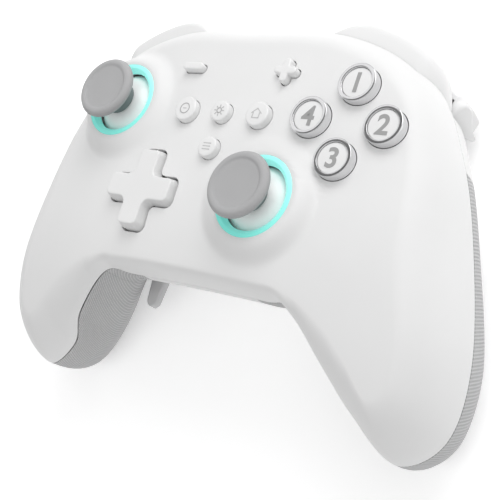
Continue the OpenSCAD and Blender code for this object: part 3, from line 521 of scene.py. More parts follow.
def moved(shape, turn, place):
    """Turns a shape about the upright axis and then shifts it."""
    p, c, s = np.asarray(shape[0], float), math.cos(turn), math.sin(turn)
    spun = np.column_stack([p[:, 0] * c - p[:, 1] * s, p[:, 0] * s + p[:, 1] * c, p[:, 2]])
    return spun + np.asarray(place), shape[1]


def sided(shape, sign):
    return np.asarray(shape[0]) * [sign, 1, 1], shape[1]


def lying(shape, axis, place):
    """Lays an upright shape down so that its height runs along X or Y."""
    p = np.asarray(shape[0], float)
    p = p[:, [2, 0, 1]] if axis == "x" else p[:, [0, 2, 1]]
    return p + np.asarray(place), shape[1]


def at_trigger(shape):
    return moved(shape, TRIGGER_TURN, (*TRIGGER_MID, 0))


# Pieces in Blender.

def placed(name, data):
    obj = bpy.data.objects.new(name, data)
    bpy.context.scene.collection.objects.link(obj)
    return obj


def set_right(mesh):
    """Merges points that coincide and turns every face outwards."""
    tidy = bmesh.new()
    tidy.from_mesh(mesh)
    bmesh.ops.remove_doubles(tidy, verts=tidy.verts, dist=3e-7)
    bmesh.ops.recalc_face_normals(tidy, faces=tidy.faces)
    tidy.to_mesh(mesh)
    tidy.free()


def mesh_of(name, shape, marks=None):
    mesh = bpy.data.meshes.new(name)
    mesh.from_pydata(np.asarray(shape[0], float).tolist(), [], shape[1])
    if marks is not None:
        corners = np.zeros(len(mesh.loops), int)
        mesh.loops.foreach_get("vertex_index", corners)
        mesh.uv_layers.new(name="ribs").data.foreach_set("uv", marks[corners].ravel())
    mesh.transform(SEAT)
    set_right(mesh)
    return mesh


def solid(name, shape, marks=None):
    return placed(name, mesh_of(name, shape, marks))


def plain_mesh(obj):
    """What an object looks like with its modifiers, as a mesh of its own."""
    return bpy.data.meshes.new_from_object(obj.evaluated_get(bpy.context.evaluated_depsgraph_get()))


def shape_of(mesh):
    return np.array([v.co[:] for v in mesh.vertices]), [list(p.vertices) for p in mesh.polygons]


def carve(obj, shapes, operation="DIFFERENCE"):
    """Cuts shapes out of a piece, or joins or keeps them, and leaves a plain mesh."""
    for shape in shapes:
        tool = solid("tool", shape)
        change = obj.modifiers.new("change", "BOOLEAN")
        change.operation = operation
        change.object = tool
        change.solver = "MANIFOLD"
        mesh = plain_mesh(obj)
        obj.modifiers.remove(change)
        old, obj.data = obj.data, mesh
        bpy.data.meshes.remove(old)
        bpy.data.objects.remove(tool)
    return obj


def scored(obj, place, normal):
    """Splits the faces of a piece along a plane of the face's frame, so that a finish can end there."""
    cut = bmesh.new()
    cut.from_mesh(obj.data)
    everything = cut.verts[:] + cut.edges[:] + cut.faces[:]
    way = (SEAT.to_3x3() @ Vector(normal)).normalized()
    bmesh.ops.bisect_plane(cut, geom=everything, dist=1e-7, plane_co=SEAT @ Vector(place), plane_no=way)
    cut.to_mesh(obj.data)
    cut.free()


def finished(obj, finish, body, stands_for, crease=32):
    """Gives a piece its finish and its smooth shading, and lets it move with its body."""
    obj.data.materials.clear()
    obj.data.materials.append(finish)
    obj.data.shade_smooth()
    obj.data.set_sharp_from_angle(angle=math.radians(crease))
    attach(obj, body)
    for node in stands_for:
        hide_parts(node)
    return obj


def piece(name, shape, finish, body, stands_for, crease=32):
    return finished(solid(name, shape), finish, body, stands_for, crease)


def second_finish(obj, finish, wears):
    """Gives a second finish to the faces whose middle, in the face's frame, passes a test."""
    obj.data.materials.append(finish)
    for face in obj.data.polygons:
        face.material_index = int(wears(UNSEAT @ face.center))


# Nodes of finishes, of the sky and of what repeats.

class Wire:
    """One output of a node. Sums with wires and numbers add Math nodes."""

    def __init__(self, owner, socket):
        self.owner = owner
        self.socket = socket

    def math(self, operation, a, b):
        return self.owner.node("ShaderNodeMath", {"operation": operation}, {0: a, 1: b})

    def __add__(self, other):
        return self.math("ADD", self, other)

    def __radd__(self, other):
        return self.math("ADD", other, self)

    def __sub__(self, other):
        return self.math("SUBTRACT", self, other)

    def __rsub__(self, other):
        return self.math("SUBTRACT", other, self)

    def __mul__(self, other):
        return self.math("MULTIPLY", self, other)

    def __rmul__(self, other):
        return self.math("MULTIPLY", other, self)

    def __truediv__(self, other):
        return self.math("DIVIDE", self, other)

    def __rtruediv__(self, other):
        return self.math("DIVIDE", other, self)


class Nodes:
    """A tree of nodes, filled by one method."""

    def __init__(self, tree):
        self.tree = tree

    def node(self, kind, settings=None, inputs=None, output=0):
        made = self.tree.nodes.new(kind)
        for key, value in (settings or {}).items():
            if key == "stops":
                ramp = made.color_ramp
                while len(ramp.elements) < len(value):
                    ramp.elements.new(0.5)
                for element, (where, colour) in zip(ramp.elements, value):
                    element.position, element.color = where, (*colour, 1)
            else:
                setattr(made, key, value)
        for key, value in (inputs or {}).items():
            self.join(made.inputs[key], value)
        return Wire(self, made.outputs[output])

    def join(self, socket, value):
        if isinstance(value, Wire):
            self.tree.links.new(value.socket, socket)
        else:
            socket.default_value = value


class Finish(Nodes):
    """A material and its nodes, which end in one shader."""

    def __init__(self, name, **constants):
        self.material = bpy.data.materials.new(name)
        self.material.use_nodes = True
        super().__init__(self.material.node_tree)
        self.tree.nodes.clear()
        self.shader = self.tree.nodes.new("ShaderNodeBsdfPrincipled")
        end = self.tree.nodes.new("ShaderNodeOutputMaterial")
        self.tree.links.new(self.shader.outputs[0], end.inputs[0])
        self.wear(**constants)
        self.place = self.node("ShaderNodeTexCoord", output="Object")

    def wear(self, **sockets):
        for key, value in sockets.items():
            self.join(self.shader.inputs[key.replace("_", " ")], value)
        return self.material

    def noise(self, scale, detail=2.0, rough=0.5):
        inputs = {"Vector": self.place, "Scale": scale, "Detail": detail, "Roughness": rough}
        return self.node("ShaderNodeTexNoise", None, inputs)

    def bump(self, height, strength, distance):
        inputs = {"Height": height, "Strength": strength, "Distance": distance}
        return self.node("ShaderNodeBump", None, inputs)

    def tint(self, value, low, high):
        return self.node("ShaderNodeValToRGB", {"stops": ((0.0, low), (1.0, high))}, {0: value})


# Finishes.

def grey(tone, blue=0.0):
    return tone, tone, tone + blue


def moulded(name, low, high, rough, grain):
    """Moulded plastic: a faint cloudy tone, an uneven gloss and a fine spark-worn grain."""
    f = Finish(name)
    cloud, fine = f.noise(55.0, 3.0), f.noise(4200.0, 2.0, 0.6)
    return f.wear(
        Base_Color=f.tint(cloud, low, high),
        Roughness=rough + 0.08 * (cloud - 0.5) + 0.06 * (fine - 0.5),
        Normal=f.bump(fine, grain, 0.00002))


def ribbed_grip(name):
    """Grip plastic with fine ribs that run round the handle and fade out on the flat of the back. Its
    grooves are painted darker and its crests lighter: painted shade and highlight.
    """
    f = Finish(name)
    cloud, fine = f.noise(60.0, 3.0), f.noise(4200.0, 2.0, 0.6)
    marks = f.node("ShaderNodeUVMap", {"uv_map": "ribs"})
    run = f.node("ShaderNodeSeparateXYZ", None, {0: marks}, "X")
    way = f.node("ShaderNodeSeparateXYZ", None, {0: marks}, "Y")
    ends = {"From Min": 0.8, "From Max": 0.97, "To Min": 1.0, "To Max": 0.0}
    fade = f.node("ShaderNodeMapRange", {"interpolation_type": "SMOOTHSTEP"}, {"Value": way, **ends})
    ribs = fade * f.node("ShaderNodeMath", {"operation": "SINE"}, {0: run * (2 * math.pi)})
    height = 0.5 + 0.5 * ribs
    # The tone follows the ribs' rise: painted shade in the grooves and painted highlight on the crests,
    # over a random cloudy tone.
    return f.wear(
        Base_Color=f.tint(height * 0.7 + cloud * 0.3, grey(0.38, 0.005), grey(0.59, 0.005)),
        Roughness=0.62 + 0.1 * (cloud - 0.5),
        Normal=f.bump(height + 0.08 * fine, 0.55, 0.00022))


def glowing(name, centre):
    """A light guide: aqua and glowing, with painted light and shade: brightest up and to the right, darker
    far off.
    """
    f = Finish(name, Roughness=0.28, IOR=1.49, Emission_Strength=0.42)
    # The spot where the ring's colour and glow are painted brightest: painted light.
    bright_spot = SEAT @ Vector((centre[0] + 8.3, centre[1] + 8.3, RING_Z))
    across = 0.0235
    clamped = {"use_clamp": True}
    far = f.node("ShaderNodeVectorMath", {"operation": "DISTANCE"}, {0: f.place, 1: bright_spot}, "Value")
    run = f.node("ShaderNodeMath", {"operation": "MULTIPLY", **clamped}, {0: far, 1: 1 / across})
    cloud = 0.12 * (f.noise(300.0) - 0.5)
    mix = f.node("ShaderNodeMath", {"operation": "ADD", **clamped}, {0: run, 1: cloud})
    # Painted light and shade: lighter and glowing more near the spot, darker and dimmer towards the far
    # side.
    return f.wear(
        Base_Color=f.tint(mix, (0.40, 0.94, 0.88), (0.18, 0.64, 0.57)),
        Emission_Color=f.tint(mix, (0.34, 0.98, 0.9), (0.12, 0.56, 0.49)))


def rubbery(name, low, high, grain, scale):
    """Rubber: matt, with a grain in its tone, its gloss and its surface."""
    f = Finish(name, Specular_IOR_Level=0.35)
    cloud, fine = f.noise(90.0, 4.0), f.noise(scale, 2.0, 0.6)
    return f.wear(
        Base_Color=f.tint(0.6 * cloud + 0.4 * fine, low, high),
        Roughness=0.66 + 0.14 * (fine - 0.5) + 0.08 * (cloud - 0.5),
        Normal=f.bump(fine, grain, 0.00004))


def bright_metal(name, colour, rough):
    """Bright metal with the faint streaks of its polish."""
    f = Finish(name, Metallic=1.0)
    along = f.node("ShaderNodeMapping", None, {"Vector": f.place, "Scale": (900.0, 900.0, 5200.0)})
    streak = f.node("ShaderNodeTexNoise", None, {"Vector": along, "Scale": 1.0, "Detail": 2.0})
    return f.wear(
        Base_Color=f.tint(streak, tuple(0.88 * c for c in colour), colour),
        Roughness=rough + 0.06 * (streak - 0.5),
        Normal=f.bump(streak, 0.04, 0.00001))


def circuit_board(name):
    """Solder mask with the lighter runs of its copper."""
    f = Finish(name)
    pattern = {"distance": "MANHATTAN", "feature": "F1"}
    cells = f.node("ShaderNodeTexVoronoi", pattern, {"Vector": f.place, "Scale": 420.0}, "Distance")
    runs = f.node("ShaderNodeMath", {"operation": "LESS_THAN"}, {0: cells, 1: 0.35})
    return f.wear(
        Base_Color=f.tint(runs, (0.008, 0.09, 0.05), (0.02, 0.17, 0.09)),
        Roughness=0.32 + 0.1 * runs,
        Normal=f.bump(runs, 0.15, 0.00003))


def floor_finish(name, low, high):
    """Pale paper that glows a little, so that the floor stays light around the shadow."""
    f = Finish(name, Specular_IOR_Level=0.1, Emission_Color=(1, 1, 1, 1), Emission_Strength=0.28)
    return f.wear(
        Base_Color=f.tint(f.noise(8.0, 2.0), low, high), Roughness=0.9 + 0.05 * (f.noise(20.0) - 0.5))


white = moulded("white_cover", grey(0.79), grey(0.83), 0.48, 0.06)
white_gloss = moulded("white_button", grey(0.80), grey(0.84), 0.3, 0.03)
# The dome's white is painted brighter than the cover's and tinted a little warm to cancel the ring's teal
# light on it: painted light.
dome_painted_bright = moulded("white_dome_painted_light", (0.93, 0.91, 0.91), (0.96, 0.94, 0.94), 0.3, 0.03)
grip_grey = ribbed_grip("ribbed_grip")
ring_finish = {side: glowing(f"light_ring_{side}", STICKS[side]) for side in STICKS}
cap_grey = rubbery("cap_rubber", grey(0.39, 0.005), grey(0.45, 0.005), 0.35, 2600.0)
# Darker rubber for the cap's underside and neck: painted shade under the rim.
cap_underside_shade = rubbery("cap_underside_painted_shade", grey(0.22, 0.005), grey(0.27, 0.005), 0.3, 2600.0)
paddle_grey = moulded("paddle_grey", grey(0.56, 0.005), grey(0.60, 0.005), 0.42, 0.06)
print_grey = moulded("printed_grey", grey(0.34), grey(0.37), 0.5, 0.02)
mark_grey = moulded("engraved_mark", grey(0.55), grey(0.6), 0.5, 0.02)
chrome = bright_metal("bright_rim", grey(0.78, 0.01), 0.06)
steel = bright_metal("steel", grey(0.62, 0.01), 0.3)
dark_plastic = moulded("dark_plastic", grey(0.03, 0.003), grey(0.05, 0.003), 0.5, 0.08)
battery_wrap = moulded("battery_wrap", (0.04, 0.042, 0.046), (0.07, 0.072, 0.076), 0.4, 0.05)
pad_rubber = rubbery("pad_rubber", (0.12, 0.125, 0.13), (0.17, 0.175, 0.18), 0.2, 1800.0)
board_green = circuit_board("solder_mask")

# Nodes that keep their own shape, and what they are made of.
KEPT = {
    "main_board": board_green, "battery": battery_wrap, "usb_socket": steel, "button_pad": pad_rubber,
    "dpad_pad": pad_rubber, "dpad_base": dark_plastic, "dpad_pivot": paddle_grey, "case_screws": steel,
}
for side in SIDES:
    KEPT.update({
        f"{side}_rumble_motor": steel, f"{side}_rumble_weight": steel, f"{side}_stick_base": dark_plastic,
        f"{side}_stick_yoke": paddle_grey, f"{side}_stick_swivel": white,
        f"{side}_shoulder_bracket": dark_plastic,
        f"{side}_trigger_spring": steel, f"{side}_bumper_switch": dark_plastic, f"{side}_paddle_pin": steel,
        f"{side}_paddle_switch": dark_plastic,
    })
for node, finish in KEPT.items():
    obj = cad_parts[node]
    obj.data.materials.clear()
    obj.data.materials.append(finish)


# Shoulders.

def bumper_rows(ends, n, section):
    """Rows of a piece that follows the top edge: the section is given for a share of the way along.

    Its own top edge lies level and then runs down to the seam at the outer end.
    """
    rows = []
    for t in np.linspace(0, 1, n):
        place = ends[0] + (ends[1] - ends[0]) * t
        s = station(place)[0]
        rim = s[:2]
        out = (rim - s[2:4]) / np.linalg.norm(rim - s[2:4])
        share = (place - BUMPER_ENDS[0]) / (BUMPER_ENDS[1] - BUMPER_ENDS[0])
        top = face_z(rim[0], rim[1]) - BUMPER_DROP
        top -= (top - BUMPER_LOW - BUMPER_TIP) * soft((share - BUMPER_TAPER) / (1 - BUMPER_TAPER))
        rows.append([(rim[0] + out[0] * w, rim[1] + out[1] * w, z) for w, z in section(t, top)])
    return rows


def bumper_section(t, top):
    """Full in the middle. Towards both ends it draws in until it is level with the rolled edge."""
    full = 1 - abs(2 * t - 1) ** 4
    high = BUMPER_OUT * full - 2 * (1 - full)
    low = BUMPER_OUT * full + 0.1 * (1 - full)
    corners = [(-BUMPER_IN, top), (high, top), (low, BUMPER_LOW), (-BUMPER_IN, BUMPER_LOW)]
    return eased(corners, [0, 0.8 + 2.4 * full, 0.4 + 2 * full, 0], 10)


def bumper_slot(out, up, low):
    def section(t, top):
        return [(-SLOT_IN, top + up), (out, top + up), (out, low), (-SLOT_IN, low)]

    return loft(bumper_rows(SLOT_ENDS, 40, section))


def bumper_shape():
    """The bumper with the lug and the pin that it swings on."""
    x, y = BUMPER_PIN
    key = loft(bumper_rows(BUMPER_ENDS, 90, bumper_section))
    lug = block((x - 2.2, y - 1.9, BUMPER_LOW), (x + 2.2, y + 4, BUMPER_LOW + 4))
    return joined(key, lug, drum(1.25, BUMPER_PIN, BUMPER_LOW - 4.1, BUMPER_LOW + 1, 32))


def trigger_rows():
    """Rows of the lever along its hinge: a finger rest whose outer end closes in a cheek."""
    # The rest in shares of its depth and height, and the cheek in millimetres from the hinge.
    lever = np.array([
        [0, 1], [0.46, 1], [0.74, 0.94], [0.915, 0.81], [1, 0.62], [0.98, 0.42], [0.87, 0.17], [0.7, 0.03],
        [0.56, 0], [0.46, 0.11], [0.2, 0.36], [0, 0.55]])
    cheek = np.array([
        [-4, 2.1], [0.5, 2.1], [2.9, 1.6], [4, -0.1], [4.1, -3.1], [2.9, -5.7], [1.3, -8.5], [0.4, -11.4],
        [-0.2, -13.6], [-1.1, -13.4], [-2.5, -9], [-4, -3.5]]) + [0, HINGE_Z]
    rows = []
    for t in np.append(np.linspace(-0.8, 0.8, 33), np.linspace(CHEEK_FROM, 0.94, 13)):
        outer, inner = max(t, 0) ** 4, (max(-t, 0) / 0.8) ** 5
        front = TRIGGER_OUT - 0.8 - 1.4 * outer - 1.2 * inner
        foot = HINGE_Z - LEVER_FOOT + 2 * outer + 5 * inner
        rest = lever * [front - TRIGGER_ROOT, HINGE_Z + LEVER_TOP - foot] + [TRIGGER_ROOT, foot]
        shape = rest + (cheek - rest) * soft((t - CHEEK_FROM) / CHEEK_RUN)
        rows.append([(t * 0.55 * TRIGGER_L, v, z) for v, z in rounded(shape)])
    middle = np.array([0, 0, HINGE_Z - 4.5])
    out = np.array(rows[-1]) + [CHEEK_EASE, 0, 0] - middle
    reach = np.linalg.norm(out[:, 1:], axis=1)[:, None]
    for turn in np.linspace(0.15, math.pi / 2, 8):
        inset = CHEEK_EASE * (1 - math.cos(turn))
        rim = middle + out * [1, 0, 0] + out * [0, 1, 1] * (1 - inset / np.maximum(reach, 2 * CHEEK_EASE))
        rows.append((rim - [CHEEK_EASE * (1 - math.sin(turn)), 0, 0]).tolist())
    return rows


def trigger_shape():
    """The lever with its two webs and the rod of its hinge."""
    z = HINGE_Z
    root = TRIGGER_ROOT + 0.4
    web = [
        (-3, z + LEVER_TOP), (root, z + LEVER_TOP), (root, z - 5.5),
        (1.2, z - 5.5), (-1.5, z - 3.5), (-3, z - 2.1)]
    webs = [loft([[(u, v, h) for v, h in web] for u in ends]) for ends in ((-12, -4.2), (4.2, 12))]
    rod = lying(drum(1.5, (0, 0), -14.6, 14.6, 48), "x", (0, HINGE_V, z))
    return at_trigger(joined(loft(trigger_rows()), *webs, rod))


def paddle_shape():
    """A paddle: the barrel of its hinge, and a blade that drops away and runs to a round tip."""
    x, y, z = PADDLE_AT
    tip, bend = y - PADDLE_L, y - PADDLE_BEND
    barrel = lying(drum(2.3, (0, 0), -5.6, 5.6, 48), "x", (x, y, z))
    rows = []
    for t in np.linspace(0, 1, 60):
        v = y + 1.4 - (PADDLE_L + PADDLE_TIP + 1.4) * t
        low = np.interp(v, [tip - 4, bend, y - 1, y + 1.6], [z - 9.6, z - 8.4, z - 4.4, z - 4.2])
        thick = np.interp(v, [tip - 4, bend, y - 1], [2.8, 2.8, 3.6])
        mid = np.interp(v, [tip, bend, y], [x - 1.6, x - 2, x])
        wide = np.interp(v, [tip, bend, y - 1], [PADDLE_TIP, 4.2, 4.5])
        past = max(0.0, (tip - v) / PADDLE_TIP)
        wide = max(wide * math.sqrt(max(0.0, 1 - past * past)), 0.25)
        ease = min(0.9, 0.8 * wide, thick * 0.45)
        corners = [(wide, low), (wide, low + thick), (-wide, low + thick), (-wide, low)]
        rows.append([(mid + a, v, b) for a, b in outline(corners, [ease] * 4, 0, 5)])
    return joined(barrel, loft(rows))


for side, sign in SIDES.items():
    for part, name, shape, finish, slot, crease in (
            ("bumper", "bumper_key", bumper_shape(), white, "white_plastic", 32),
            ("trigger", "trigger_lever", trigger_shape(), white, "white_plastic", 40),
            ("paddle", "paddle_blade", paddle_shape(), paddle_grey, "grey_plastic", 40)):
        body = f"{side}_{part}"
        piece(f"{side}_{name}", sided(shape, sign), finish, body, [body], crease)


# Covers and grips.

def usb_hole():
    return lying(prism(bar_plan(10.4, 4.4), [2.19] * 4, (0, 0), 36, 48), "y", (0, 0, BOARD_Z + 1.6))


def stick_bore(centre):
    """Room for the dome, the opening that it fills, the light ring's seat and the collar's top."""
    room, opening, seat = 13.2, 9.95, RING_R + 0.06
    return turned([
        (0, -14), (room, -14), (room, -5.6), (11.6, -3), (opening, -1.35), (opening, RING_Z - RING_DEEP),
        (seat, RING_Z - RING_DEEP), (seat, COLLAR_Z), (14, COLLAR_Z), (14, 8), (0, 8)], centre, 128)


def face_spot(where):
    return FACE_MID[0] + FACE_PITCH * FACE_AT[where][0], FACE_MID[1] + FACE_PITCH * FACE_AT[where][1]


def sign_holes():
    """Openings for the minus and the plus."""
    wide, end = SIGN_W + 2 * GAP, SIGN_W / 2 + GAP - 0.01
    return [
        prism(bar_plan(SIGN_L + 2 * GAP, wide), [end] * 4, (-SIGN_X, SIGN_Y), -8, 4),
        prism(cross_plan(SIGN_L / 2 + GAP, wide), cross_radii(end, 0.2), (SIGN_X, SIGN_Y), -8, 4)]


def screw_hole(x, y, head, end):
    """A case screw's hole from below: wide up to the head, then as wide as the shank."""
    profile = [(0, BELOW), (HEAD_R, BELOW), (HEAD_R, head), (SHANK_R, head), (SHANK_R, end), (0, end)]
    return turned(profile, (x, y), 40)


def grip_side(sign, more):
    """Everything on the handle's side of the line where a grip parts from the back cover."""
    edge = [(sign * (x - more * GRIP_DIR[0]), y - more * GRIP_DIR[1]) for x, y in GRIP_EDGE]
    return loft([[(x, y, z) for x, y in edge] for z in (-80, 20)])


core = body_core(WALL * 0.5)


def trimmed(shape):
    """A shape cut to the inside of the body."""
    rough = carve(solid("rough", shape), [core], "INTERSECT")
    rough.data.transform(UNSEAT)
    result = shape_of(rough.data)
    bpy.data.objects.remove(rough)
    return result


def on_patch(spot):
    """Whether a spot of the back cover lies on the ribbed patch beside a grip."""
    x = abs(spot.x)
    edge = PATCH_Y - PATCH_SLOPE * max(0, PATCH_X - x)
    return PATCH_SPAN[0] < x < PATCH_SPAN[1] and spot.y < edge


front_cuts = [stick_bore(c) for c in STICKS.values()]
front_cuts += [drum(FACE_R + FACE_PLAY, face_spot(w), -16, 4, 96) for w in FACE_AT]
front_cuts += [drum(r + SMALL_PLAY, (x, y), -8, 4, 72) for x, y, r in SMALL_AT.values()]
front_cuts.append(prism(cross_plan(CROSS_L + 0.6, CROSS_W + 1.2), cross_radii(2.6, 1.7), CROSS_AT, -10, 4))
front_cuts += sign_holes()
front_cuts += [sided(bumper_slot(9, 0.45, -30), sign) for sign in SIDES.values()]
front_cuts.append(usb_hole())
front = carve(solid("front_cover", hollow_cover(front=True, **FRONT_GRID)), front_cuts)
finished(front, white, "body", ["front_shell"], 30)

px, py = PADDLE_AT[:2]
linings, back_cuts = [], []
for sign in SIDES.values():
    linings.append(trimmed(sided(block((px - 7.6, py - 9.6, BELOW), (px + 7.6, py + 5, -26.6)), sign)))
    for (x, y), head in CASE_AT.items():
        linings.append(trimmed(drum(COLUMN_R, (sign * x, y), BELOW, -20, 40)))
        back_cuts.append(screw_hole(sign * x, y, head, -19))
    back_cuts.append(sided(block((px - 6, py - 8.2, BELOW), (px + 6, py + 3.6, -28)), sign))
    back_cuts.append(sided(drum(1.5, (px - 1.5, py - 13), BELOW, -20, 32), sign))
    back_cuts.append(sided(at_trigger(block((-17, -5.6, BELOW), (19.6, 60, -11.5))), sign))
    back_cuts.append(sided(bumper_slot(30, 6, -17), sign))
back_shape = hollow_cover(front=False, **BACK_GRID)
back_marks = rib_marks(**BACK_GRID)
back = solid("back_cover", back_shape, back_marks)
carve(back, [grip_side(sign, GRIP_PLAY) for sign in SIDES.values()])
carve(back, linings, "UNION")
carve(back, back_cuts + [usb_hole()])
for x, slope in ((0, 0), (PATCH_X, -PATCH_SLOPE), (-PATCH_X, PATCH_SLOPE)):
    scored(back, (x, PATCH_Y, 0), (slope, 1, 0))
finished(back, white, "body", ["back_shell"], 30)
second_finish(back, grip_grey, on_patch)

for side, sign in SIDES.items():
    x, y = sign * HANDLE_AT[0], HANDLE_AT[1]
    grip = solid(f"{side}_handle_grip", back_shape, back_marks)
    carve(grip, [grip_side(sign, -GRIP_PLAY)], "INTERSECT")
    carve(grip, [trimmed(drum(COLUMN_R, (x, y), BELOW, -30, 40))], "UNION")
    carve(grip, [screw_hole(x, y, -38, -29)])
    finished(grip, grip_grey, "body", [f"{side}_grip"], 30)


# Sticks.

def ring_profile():
    low, z = RING_Z - RING_DEEP, RING_Z
    loop = [
        (RING_IN, low), (RING_R, low), (RING_R, z),
        (RING_IN + 0.95, z), (RING_IN, z - 0.75), (RING_IN, low + 0.1)]
    return eased(loop, [0, 0, 0.25, 0.12, 0.2, 0], 5)


def dome_arc(r, first, last, n):
    return [(r * math.sin(a), PIVOT_Z + r * math.cos(a)) for a in np.radians(np.linspace(first, last, n))]


def stem_profile():
    """The stem, the dome that flares from it and turns back on itself, and the post under the cap."""
    under = dome_arc(DOME_R - DOME_WALL, DOME_OPEN + 6, DOME_LOW, 12)
    over = dome_arc(DOME_R, DOME_LOW, DOME_OPEN, 24)
    return [
        (0, PIVOT_Z - 3.2), (STEM_R, PIVOT_Z - 3.2), (STEM_R, PIVOT_Z + 6.5), (4.4, PIVOT_Z + 9.4),
        *under, *over, (POST_R, DOME_TOP + 0.1), (POST_R, POST_Z), (0, POST_Z)]


def cap_profile():
    """A mushroom: neck, flared underside, a thick rounded rim and a shallow dish."""
    base, bore, floor = DOME_TOP + 0.15, POST_R + 0.05, POST_Z + 0.1
    z, r = CAP_Z, CAP_R
    path = [
        (0, floor), (bore, floor), (bore, base), (CAP_NECK_R, base), (CAP_NECK_R, z - 4.1),
        (r - 1.7, z - 3.3), (r, z - 2.2), (r, z - 0.9), (r - 0.9, z), (r - 1.9, z),
        (r - 2.5, z - 0.45), (r - 4.5, z - 0.6), (0, z - 0.66)]
    return eased(path, [0, 0, 0, 0.2, 0.8, 0.9, 0.9, 0.9, 0.6, 0.35, 0.4, 0.5, 0], 8)


def rim_rib_tree(finish):
    """Geometry nodes that copy one rib round the rim of a cap."""
    tree = bpy.data.node_groups.new("rim_ribs", "GeometryNodeTree")
    tree.interface.new_socket("Rib", in_out="INPUT", socket_type="NodeSocketGeometry")
    count_socket = tree.interface.new_socket("Count", in_out="INPUT", socket_type="NodeSocketInt")
    lift_socket = tree.interface.new_socket("Lift", in_out="INPUT", socket_type="NodeSocketFloat")
    tree.interface.new_socket("Ribs", in_out="OUTPUT", socket_type="NodeSocketGeometry")
    g = Nodes(tree)
    rib, count, lift = (g.node("NodeGroupInput", output=name) for name in ("Rib", "Count", "Lift"))
    places = g.node("GeometryNodeMeshLine", None, {"Count": count, "Offset": (0, 0, 0)})
    turn = g.node("GeometryNodeInputIndex") * (2 * math.pi / count)
    angle = g.node("ShaderNodeCombineXYZ", None, {"Z": turn})
    rise = g.node("ShaderNodeCombineXYZ", None, {"Z": lift})
    risen = g.node("GeometryNodeTransform", None, {"Geometry": rib, "Translation": rise})
    copies = g.node(
        "GeometryNodeInstanceOnPoints", None, {"Points": places, "Instance": risen, "Rotation": angle})
    whole = g.node("GeometryNodeRealizeInstances", None, {"Geometry": copies})
    coated = g.node("GeometryNodeSetMaterial", None, {"Geometry": whole, "Material": finish})
    g.join(tree.nodes.new("NodeGroupOutput").inputs[0], coated)
    return tree, count_socket.identifier, lift_socket.identifier


def rim_rib():
    """One rib, which follows the rounded rim of a cap and thins out at both ends."""
    r = CAP_R
    path = [
        (r - 0.42, -2.35), (r - 0.1, -1.95), (r + 0.02, -1.6),
        (r + 0.02, -1.3), (r - 0.1, -0.95), (r - 0.35, -0.65)]
    rows = []
    for k, (a, z) in enumerate(path):
        w = 0.05 if k in (0, len(path) - 1) else 0.1
        root, flank, ridge = a - 0.25, a - 0.02, a + 0.035
        rows.append([(root, -w, z), (flank, -w, z), (ridge, 0, z), (flank, w, z), (root, w, z)])
    return loft(rows)


rib_tree, rib_count, rib_lift = rim_rib_tree(cap_grey)


def rim_ribs(side):
    """Fine ribs round the side of a cap."""
    points, faces = rim_rib()
    single = bpy.data.meshes.new("rib")
    single.from_pydata(points.tolist(), [], faces)
    obj = placed(f"{side}_cap_ribs", single)
    change = obj.modifiers.new("ribs", "NODES")
    change.node_group = rib_tree
    change[rib_count] = RIM_RIBS
    change[rib_lift] = CAP_Z
    mesh = plain_mesh(obj)
    obj.modifiers.remove(change)
    obj.data = mesh
    bpy.data.meshes.remove(single)
    mesh.transform(SEAT @ Matrix.Translation((*STICKS[side], 0)))
    set_right(mesh)
    return obj


for side, centre in STICKS.items():
    body = f"{side}_stick"
    piece(f"{side}_light_band", turned(ring_profile(), centre, 128), ring_finish[side], "body",
          [f"{side}_light_ring"])
    piece(f"{side}_stick_dome", turned(stem_profile(), centre, 96), dome_painted_bright, body,
          [f"{side}_stick_stem"])
    cap = piece(f"{side}_stick_mushroom", turned(cap_profile(), centre, 128), cap_grey, body,
                [f"{side}_stick_cap"], 40)
    # The underside and neck take the darker grey: painted shade under the cap's rim.
    second_finish(cap, cap_underside_shade, lambda spot: spot.z < CAP_Z - CAP_SHADE)
    finished(rim_ribs(side), cap_grey, body, (), 20)


# Buttons.

def strokes(lines, width, centre, z, thick=0.06):
    """Flat marks: each line is drawn with its width and round joints."""
    low, high = z - 0.2, z + thick
    parts = []
    for line in lines:
        for p, q in zip(line[:-1], line[1:]):
            p, q = np.asarray(p, float), np.asarray(q, float)
            along = (q - p) / np.linalg.norm(q - p)
            across = np.array([-along[1], along[0]]) * width / 2
            plan = np.array([p - across, q - across, q + across, p + across])
            parts.append(loft([level(plan, centre, low), level(plan, centre, high)]))
        for p in line:
            parts.append(drum(width / 2, (centre[0] + p[0], centre[1] + p[1]), low, high, 12))
    return joined(*parts)


def arc(r, first, last, n):
    return [(r * math.cos(a), r * math.sin(a)) for a in np.radians(np.linspace(first, last, n))]


def numeral(text, height, centre, z):
    """A plain numeral as a flat mark."""
    curve = bpy.data.curves.new("numeral", "FONT")
    curve.body = text
    curve.size = 1.0
    curve.offset = 0.022
    curve.extrude = 0.02
    obj = placed("numeral", curve)
    p, faces = shape_of(plain_mesh(obj))
    bpy.data.objects.remove(obj)
    low, high = p.min(0), p.max(0)
    p = p - (low + high) / 2
    p[:, :2] *= height / (high[1] - low[1])
    p[:, 2] = np.where(p[:, 2] > 0, z + 0.05, z - 0.15)
    return p + [centre[0], centre[1], 0], faces


def key_profile(plunger, flange, thick, r, stop, edge, top, ease, steps):
    """A turned key: its plunger, the flange that stops it under the cover, its wall and its top."""
    path = [
        (0, PLUNGER_Z), (plunger, PLUNGER_Z), (plunger, stop - thick), (flange, stop - thick),
        (flange, stop - 0.1), (r, stop - 0.1), (r, edge), (0, top)]
    return eased(path, [0, 0, 0, 0, 0, 0, ease, 0], steps)


